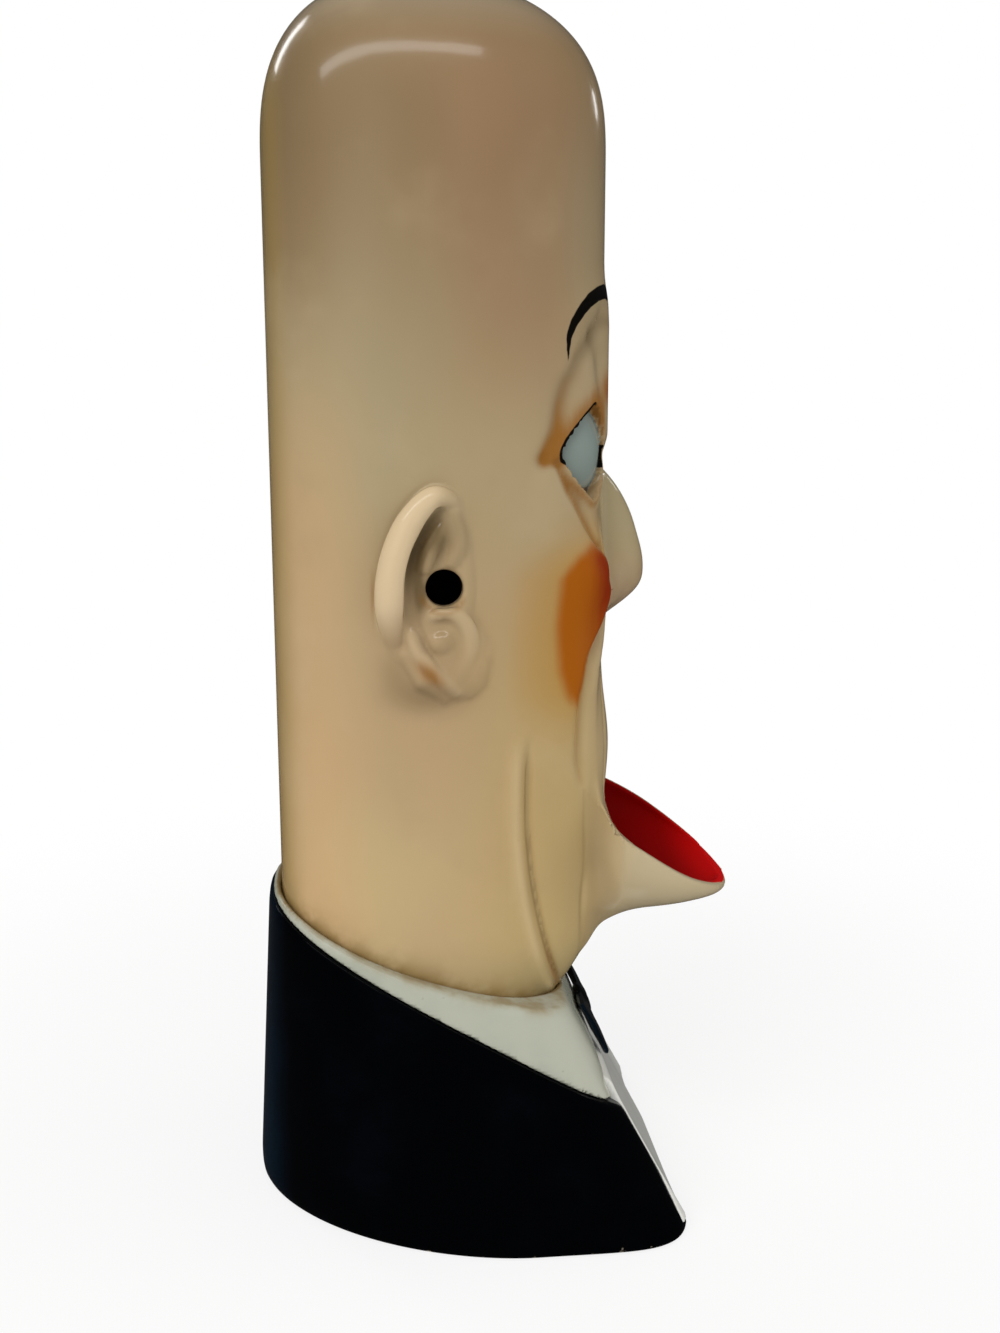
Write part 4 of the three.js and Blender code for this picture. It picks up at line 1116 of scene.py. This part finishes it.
class VESSEL_OT_head(bpy.types.Operator):
    """Sculpts the head casting, the jaw with its scooped lip, the nose and both ears"""

    bl_idname = "vessel.head"
    bl_label = "Head, Jaw, Nose and Ears"

    def execute(self, context):
        clay = Clay(context.scene.vessel_sizes)
        fine, broad, ear = clay.face_grain, clay.grain, clay.ear_grain
        ear_deep, ear_out, ear_up = marks(-24, ear, 0), marks(15, ear, 33), marks(96, ear, 137)
        jobs = (
            ("head", "head_casting", clay.head_edge, marks(-41, broad, 3, fine, 26),
             marks(-29, 0.9, -23, 0.7, -6, 1.0, 6, 0.7, 23, 0.9, 29),
             marks(26, broad, 72, 1.0, 116, fine, 162, broad, 221)),
            ("jaw", "jaw_scoop", clay.jaw_edge, marks(0, 0.48, 34, 0.36, 47), marks(-28, 0.46, 28),
             marks(38, 0.46, 75)),
            ("nose_ball", "nose", clay.nose_edge, marks(6, 0.5, 31), marks(-12, 0.5, 12),
             marks(105, 0.5, 141)),
            ("right_ear", "ear_right", clay.ear_edge, ear_deep, -ear_out[::-1], ear_up),
            ("left_ear", "ear_left", clay.ear_edge, ear_deep, ear_out, ear_up),
        )
        for name, node, edge, *lines in jobs:
            mesh, points, normals = piece_mesh(name, clay.body, edge, *lines)
            paint_layers(clay, mesh, points, normals)
            add_piece(name, mesh, node, glaze("flesh_porcelain"))
        return {"FINISHED"}


def crevices(mesh, points, normals, *fields):
    """How deep each point lies between the given forms."""
    out = points + 1.2 * normals
    near = np.min([f(*out.T) for f in fields], axis=0)
    store(mesh, cavity=np.clip((1.2 - near) / 1.2, 0, 1))


class VESSEL_OT_collar(bpy.types.Operator):
    """Makes the white collar band around the neck"""

    bl_idname = "vessel.collar"
    bl_label = "Collar"

    def execute(self, context):
        clay = Clay(context.scene.vessel_sizes)
        mesh, points, normals = piece_mesh("collar_band", clay.collar, None, marks(-43, 0.6, 24),
                                           marks(-34, 0.6, 34), marks(20, 0.6, 63))
        crevices(mesh, points, normals, clay.collar, clay.skull)
        x, _, z = points.T
        store(mesh, grime=np.exp(-np.abs(clay.collar_top(x) - z) / 0.6))
        add_piece("collar_band", mesh, "collar", glaze("white_porcelain"))
        return {"FINISHED"}


class VESSEL_OT_shirt(bpy.types.Operator):
    """Makes the white shirt front that closes the slanted face of the bust"""

    bl_idname = "vessel.shirt"
    bl_label = "Shirt Front"

    def execute(self, context):
        clay = Clay(context.scene.vessel_sizes)
        mesh, points, normals = piece_mesh("shirt", clay.shirt, None, marks(8, 0.5, 37), marks(-37, 0.5, 37),
                                           marks(0, 0.5, 38))
        crevices(mesh, points, normals, clay.shirt)
        store(mesh, front=np.ones(len(mesh.vertices)))
        add_piece("shirt", mesh, "shirt_front", glaze("white_porcelain"))
        return {"FINISHED"}


class VESSEL_OT_bow(bpy.types.Operator):
    """Makes the pleated bow tie with its knot"""

    bl_idname = "vessel.bow"
    bl_label = "Bow Tie"

    def execute(self, context):
        clay = Clay(context.scene.vessel_sizes)
        mesh, points, _ = piece_mesh("bow", clay.bow, None, marks(10, 0.35, 32), marks(-19, 0.35, 19),
                                     marks(20, 0.35, 44))
        store(mesh, edge=ramp(np.abs(points[:, 1]), clay.tie_wide - 2.0, clay.tie_wide))
        add_piece("bow", mesh, "bow_tie", glaze("coat_porcelain"))
        return {"FINISHED"}


def loft_tree(inputs):
    """Geometry Nodes: a closed wall round the bust, square in front, round behind, under a sloping edge."""
    tree = bpy.data.node_groups.new("bust_loft", "GeometryNodeTree")
    tree.interface.new_socket("Geometry", in_out="OUTPUT", socket_type="NodeSocketGeometry")
    kinds = {int: "NodeSocketInt", float: "NodeSocketFloat", bpy.types.Material: "NodeSocketMaterial"}
    for name, given in inputs.items():
        made = tree.interface.new_socket(name, in_out="INPUT", socket_type=kinds[type(given)])
        made.default_value = given
    flow = Flow(tree, None)
    source = tree.nodes.new("NodeGroupInput")
    value = {o.name: Flow(tree, o) for o in source.outputs if o.name}
    grid = tree.nodes.new("GeometryNodeMeshGrid")
    grid.inputs["Size X"].default_value = 1.0
    grid.inputs["Size Y"].default_value = 1.0
    tree.links.new(value["Around"].socket, grid.inputs["Vertices X"])
    tree.links.new(value["Rows"].socket, grid.inputs["Vertices Y"])
    across, along, _ = flow.parts(flow.node("GeometryNodeInputPosition"))
    angle = (across + 0.5) * (2 * math.pi)
    row = along + 0.5
    cosine, sine = flow.sum("COSINE", angle), flow.sum("SINE", angle)

    def profile(points):
        """A piecewise line over the rows, from pairs of row share and value."""
        total = None
        for (a, b), (c, d) in zip(points, points[1:]):
            part = flow.node("ShaderNodeMapRange", {"clamp": True},
                             {"Value": row, "From Min": a, "From Max": c, "To Min": 0.0, "To Max": d - b})
            total = part + points[0][1] if total is None else total + part
        return total

    climb = profile(COAT_CLIMB)
    draw_in = profile(COAT_DRAW_IN)
    inset = draw_in * value["Wall"]
    ahead = flow.sum("GREATER_THAN", cosine, 0.0)

    def section(height, set_back):
        """Place of this column's wall at a height."""
        share = flow.sum("DIVIDE", height, value["Edge Back"], clamp=True)
        back = value["Back"] + inset + BACK_LEAN * MM * share
        front = value["Front"] - inset - set_back - value["Front Lean"] * height
        middle = back + (front - back) * BUST_SPLIT
        half = ahead * (front - middle) + (1.0 - ahead) * (middle - back)
        wide = value["Half Width"] + (value["Top Half Width"] - value["Half Width"]) * share - inset
        power = ahead * FRONT_SQUARENESS + (1.0 - ahead) * (BACK_ROUNDNESS + BACK_ROUNDNESS_GAIN * share)
        reach = ((cosine / half).size() ** power + (sine / wide).size() ** power) ** (-1.0 / power)
        return middle + reach * cosine, reach * sine, wide

    edge = value["Edge Back"] * 0.7
    for _ in range(4):
        x, _, _ = section(edge, 0.0)
        edge = value["Edge Back"] - value["Edge Slope"] * (x - value["Back"] - BACK_LEAN * MM)
    height = climb * edge
    _, y, wide = section(height, 0.0)
    panel = (wide - value["Lapel"] - value["Lapel Taper"] * height - y.size()).ramp(0.0, 0.0008) * ahead
    panel = panel * (height - value["Shirt Foot"]).ramp(0.0, 0.0006)
    x, y, _ = section(height, panel * value["Shirt Inset"])
    across_front = flow.sum("DIVIDE", y.size(), HOLLOW_HALF * MM, clamp=True)
    hollow = value["Front Hollow"] * (1.0 - across_front**HOLLOW_SQUARENESS)
    hollow = hollow + FAR_FALL * MM * y.ramp(*(end * MM for end in FAR_FALL_SPAN))
    hollow = hollow * height.ramp(*(end * MM for end in reversed(HOLLOW_FADE)))
    x = x - hollow * flow.sum("GREATER_THAN", x, HOLLOW_START * MM)
    place = flow.node("ShaderNodeCombineXYZ", None, {0: x, 1: y, 2: height})
    sheet = Flow(tree, grid.outputs[0])
    placed = flow.node("GeometryNodeSetPosition", None, {"Geometry": sheet, "Position": place})
    rim = row.ramp(0.80, 0.90) * row.ramp(0.99, 0.95)
    rim = rim.most(panel.ramp(0.02, 0.4) * panel.ramp(0.98, 0.6))
    named = flow.node("GeometryNodeStoreNamedAttribute", {"data_type": "FLOAT", "domain": "POINT"},
                      {"Geometry": placed, "Name": "edge", "Value": rim})
    welded = flow.node("GeometryNodeMergeByDistance", None, {"Geometry": named, "Distance": 0.00002})
    smooth = flow.node("GeometryNodeSetShadeSmooth", None, {"Geometry": welded})
    whole = flow.node("GeometryNodeRealizeInstances", None, {"Geometry": smooth})
    painted = flow.node("GeometryNodeSetMaterial", None, {"Geometry": whole, "Material": value["Material"]})
    result = tree.nodes.new("NodeGroupOutput")
    tree.links.new(painted.socket, result.inputs[0])
    return tree


def grown(name, tree, inputs):
    """A plain mesh grown by a Geometry Nodes tree with the given inputs."""
    seed = bpy.data.objects.new(name + "_seed", bpy.data.meshes.new(name + "_seed"))
    bpy.context.scene.collection.objects.link(seed)
    modifier = seed.modifiers.new("grow", "NODES")
    modifier.node_group = tree
    for item in tree.interface.items_tree:
        if item.item_type == "SOCKET" and item.in_out == "INPUT" and item.name in inputs:
            modifier[item.identifier] = inputs[item.name]
    seed.update_tag()
    evaluated = seed.evaluated_get(bpy.context.evaluated_depsgraph_get())
    mesh = bpy.data.meshes.new_from_object(evaluated)
    mesh.name = name
    seed.modifiers.clear()
    bpy.data.objects.remove(seed)
    if not len(mesh.polygons):
        raise RuntimeError(f"{name} grew no faces")
    return mesh


class VESSEL_OT_coat(bpy.types.Operator):
    """Grows the hollow dark coat with its rolled edge and foot rim"""

    bl_idname = "vessel.coat"
    bl_label = "Coat"

    def execute(self, context):
        s = context.scene.vessel_sizes
        inputs = {
            "Around": 361, "Rows": 90, "Back": s.foot_back, "Front": s.foot_front, "Half Width": s.foot_wide,
            "Top Half Width": s.bust_wide, "Edge Back": s.coat_back, "Edge Slope": EDGE_SLOPE,
            "Front Lean": FRONT_LEAN, "Wall": s.wall, "Shirt Inset": s.shirt_inset,
            "Shirt Foot": s.shirt_foot,
            "Lapel": s.lapel + LAPEL_GAP * MM, "Lapel Taper": LAPEL_TAPER, "Front Hollow": s.front_hollow,
            "Material": glaze("coat_porcelain")}
        mesh = grown("coat", loft_tree(inputs), inputs)
        add_piece("coat", mesh, "coat_casting", glaze("coat_porcelain"))
        return {"FINISHED"}


class VESSEL_OT_base(bpy.types.Operator):
    """Makes the bare clay plate that closes the foot"""

    bl_idname = "vessel.base"
    bl_label = "Base Plate"

    def execute(self, context):
        clay = Clay(context.scene.vessel_sizes)

        def plate(x, y, z):
            return soft_max(clay.bust(x, y, z, 2.6), np.abs(z - 2.7) - 1.5, 0.8)

        mesh, _, _ = piece_mesh("base", plate, None, marks(-45, 0.9, 36), marks(-38, 0.9, 38),
                                marks(0, 0.6, 6))
        add_piece("base", mesh, "base_plate", glaze("foot_clay"))
        return {"FINISHED"}


class VESSEL_OT_stage(bpy.types.Operator):
    """Sets a pale floor, soft studio lamps, a white surround and the camera"""

    bl_idname = "vessel.stage"
    bl_label = "Stage"

    def execute(self, context):
        scene = context.scene
        floor_mesh = bpy.data.meshes.new("floor")
        floor_mesh.from_pydata([(-3, -3, 0), (3, -3, 0), (3, 3, 0), (-3, 3, 0)], [], [(0, 1, 2, 3)])
        floor = bpy.data.objects.new("floor", floor_mesh)
        scene.collection.objects.link(floor)
        floor_mesh.materials.append(self.floor_material())
        self.surround(scene)
        for lamp in LAMPS:
            self.lamp(*lamp)
        self.camera(scene)
        scene.view_settings.view_transform = "Standard"
        return {"FINISHED"}

    def camera(self, scene):
        camera = bpy.data.cameras.new("camera")
        camera.sensor_fit = "VERTICAL"
        camera.sensor_height = FILM_TALL
        camera.lens = FILM_TALL * FOCAL_LENGTH / PHOTO_TALL
        camera.clip_start = 0.01
        eye = bpy.data.objects.new("camera", camera)
        scene.collection.objects.link(eye)
        turn, tilt = math.radians(CAMERA_TURN), math.radians(CAMERA_TILT)
        look = Vector((-math.sin(turn) * math.cos(tilt), math.cos(turn) * math.cos(tilt), -math.sin(tilt)))
        right = Vector((math.cos(turn), math.sin(turn), 0.0))
        place = Matrix((right, right.cross(look), -look)).transposed().to_4x4()
        place.translation = Vector(CAMERA_PLACE)
        eye.matrix_world = place
        scene.camera = eye

    def floor_material(self):
        """Pale floor that fades into the surround and stays out of the glaze's reflections."""
        f = Finish("pale_floor")
        far = f.flow.sum("SQRT", f.x * f.x + f.y * f.y)
        f.set(Base_Color=(0.93, 0.93, 0.93, 1.0), Roughness=0.9, Specular_IOR_Level=0.1,
              Alpha=far.ramp(0.34, 0.12))
        rays = f.flow.node("ShaderNodeLightPath").socket.node.outputs
        seen, mirrored = Flow(f.tree, rays["Is Camera Ray"]), Flow(f.tree, rays["Is Glossy Ray"])
        white, dim = (
            f.flow.node("ShaderNodeEmission", None, {"Color": (1.0, 1.0, 1.0, 1.0), "Strength": strength})
            for strength in (1.0, 0.03))
        f.over(white, seen * (0.80 + 0.20 * far.ramp(0.06, 0.30)))
        return f.over(dim, mirrored)

    def surround(self, scene):
        """White to the camera, soft light on the vessel and nearly dark in the glaze's reflections."""
        world = bpy.data.worlds.new("surround")
        scene.world = world
        world.use_nodes = True
        tree = world.node_tree
        tree.nodes.clear()
        flow = Flow(tree, None)
        rays = flow.node("ShaderNodeLightPath").socket.node.outputs
        seen, mirrored = Flow(tree, rays["Is Camera Ray"]), Flow(tree, rays["Is Glossy Ray"])
        around, dim, white = (
            flow.node("ShaderNodeBackground", None, {"Color": colour, "Strength": strength})
            for colour, strength in (((1.0, 0.99, 0.97, 1.0), 0.40), ((1.0,) * 4, 0.05), ((1.0,) * 4, 1.0)))
        unseen = flow.node("ShaderNodeMixShader", None, {0: mirrored, 1: around, 2: dim})
        both = flow.node("ShaderNodeMixShader", None, {0: seen, 1: unseen, 2: white})
        out = tree.nodes.new("ShaderNodeOutputWorld")
        tree.links.new(both.socket, out.inputs["Surface"])

    def lamp(self, name, place, aim, wide, tall, power, mirrored, turn):
        """A soft rectangular lamp that looks at its aim."""
        light = bpy.data.lights.new(name, "AREA")
        light.shape = "RECTANGLE"
        light.size, light.size_y, light.energy = wide, tall, power
        lamp = bpy.data.objects.new(name, light)
        lamp.location = place
        lamp.visible_glossy = mirrored
        facing = (Vector(aim) - Vector(place)).to_track_quat("-Z", "Y")
        lamp.rotation_euler = (facing @ Quaternion((0, 0, 1), math.radians(turn))).to_euler()
        bpy.context.scene.collection.objects.link(lamp)


class VESSEL_PT_pieces(bpy.types.Panel):
    """Lists the vessel's pieces, sizes and colours"""

    bl_idname = "VESSEL_PT_pieces"
    bl_label = "Figural Vessel"
    bl_space_type = "VIEW_3D"
    bl_region_type = "UI"
    bl_category = "Vessel"

    def draw(self, context):
        for operator in OPERATORS:
            self.layout.operator(operator.bl_idname)
        for group in (context.scene.vessel_sizes, context.scene.vessel_colours):
            column = self.layout.column()
            for name in type(group).__annotations__:
                column.prop(group, name)


OPERATORS = (VESSEL_OT_head, VESSEL_OT_collar, VESSEL_OT_coat, VESSEL_OT_shirt, VESSEL_OT_bow, VESSEL_OT_base,
             VESSEL_OT_stage)
CLASSES = (VesselSizes, VesselColours, *OPERATORS, VESSEL_PT_pieces)


def register():
    for made in CLASSES:
        bpy.utils.register_class(made)
    bpy.types.Scene.vessel_sizes = PointerProperty(type=VesselSizes)
    bpy.types.Scene.vessel_colours = PointerProperty(type=VesselColours)


def unregister():
    del bpy.types.Scene.vessel_colours
    del bpy.types.Scene.vessel_sizes
    for made in reversed(CLASSES):
        bpy.utils.unregister_class(made)


def main():
    register()
    bpy.ops.vessel.head()
    bpy.ops.vessel.collar()
    bpy.ops.vessel.coat()
    bpy.ops.vessel.shirt()
    bpy.ops.vessel.bow()
    bpy.ops.vessel.base()
    bpy.ops.vessel.stage()


if __name__ == "__main__":
    main()
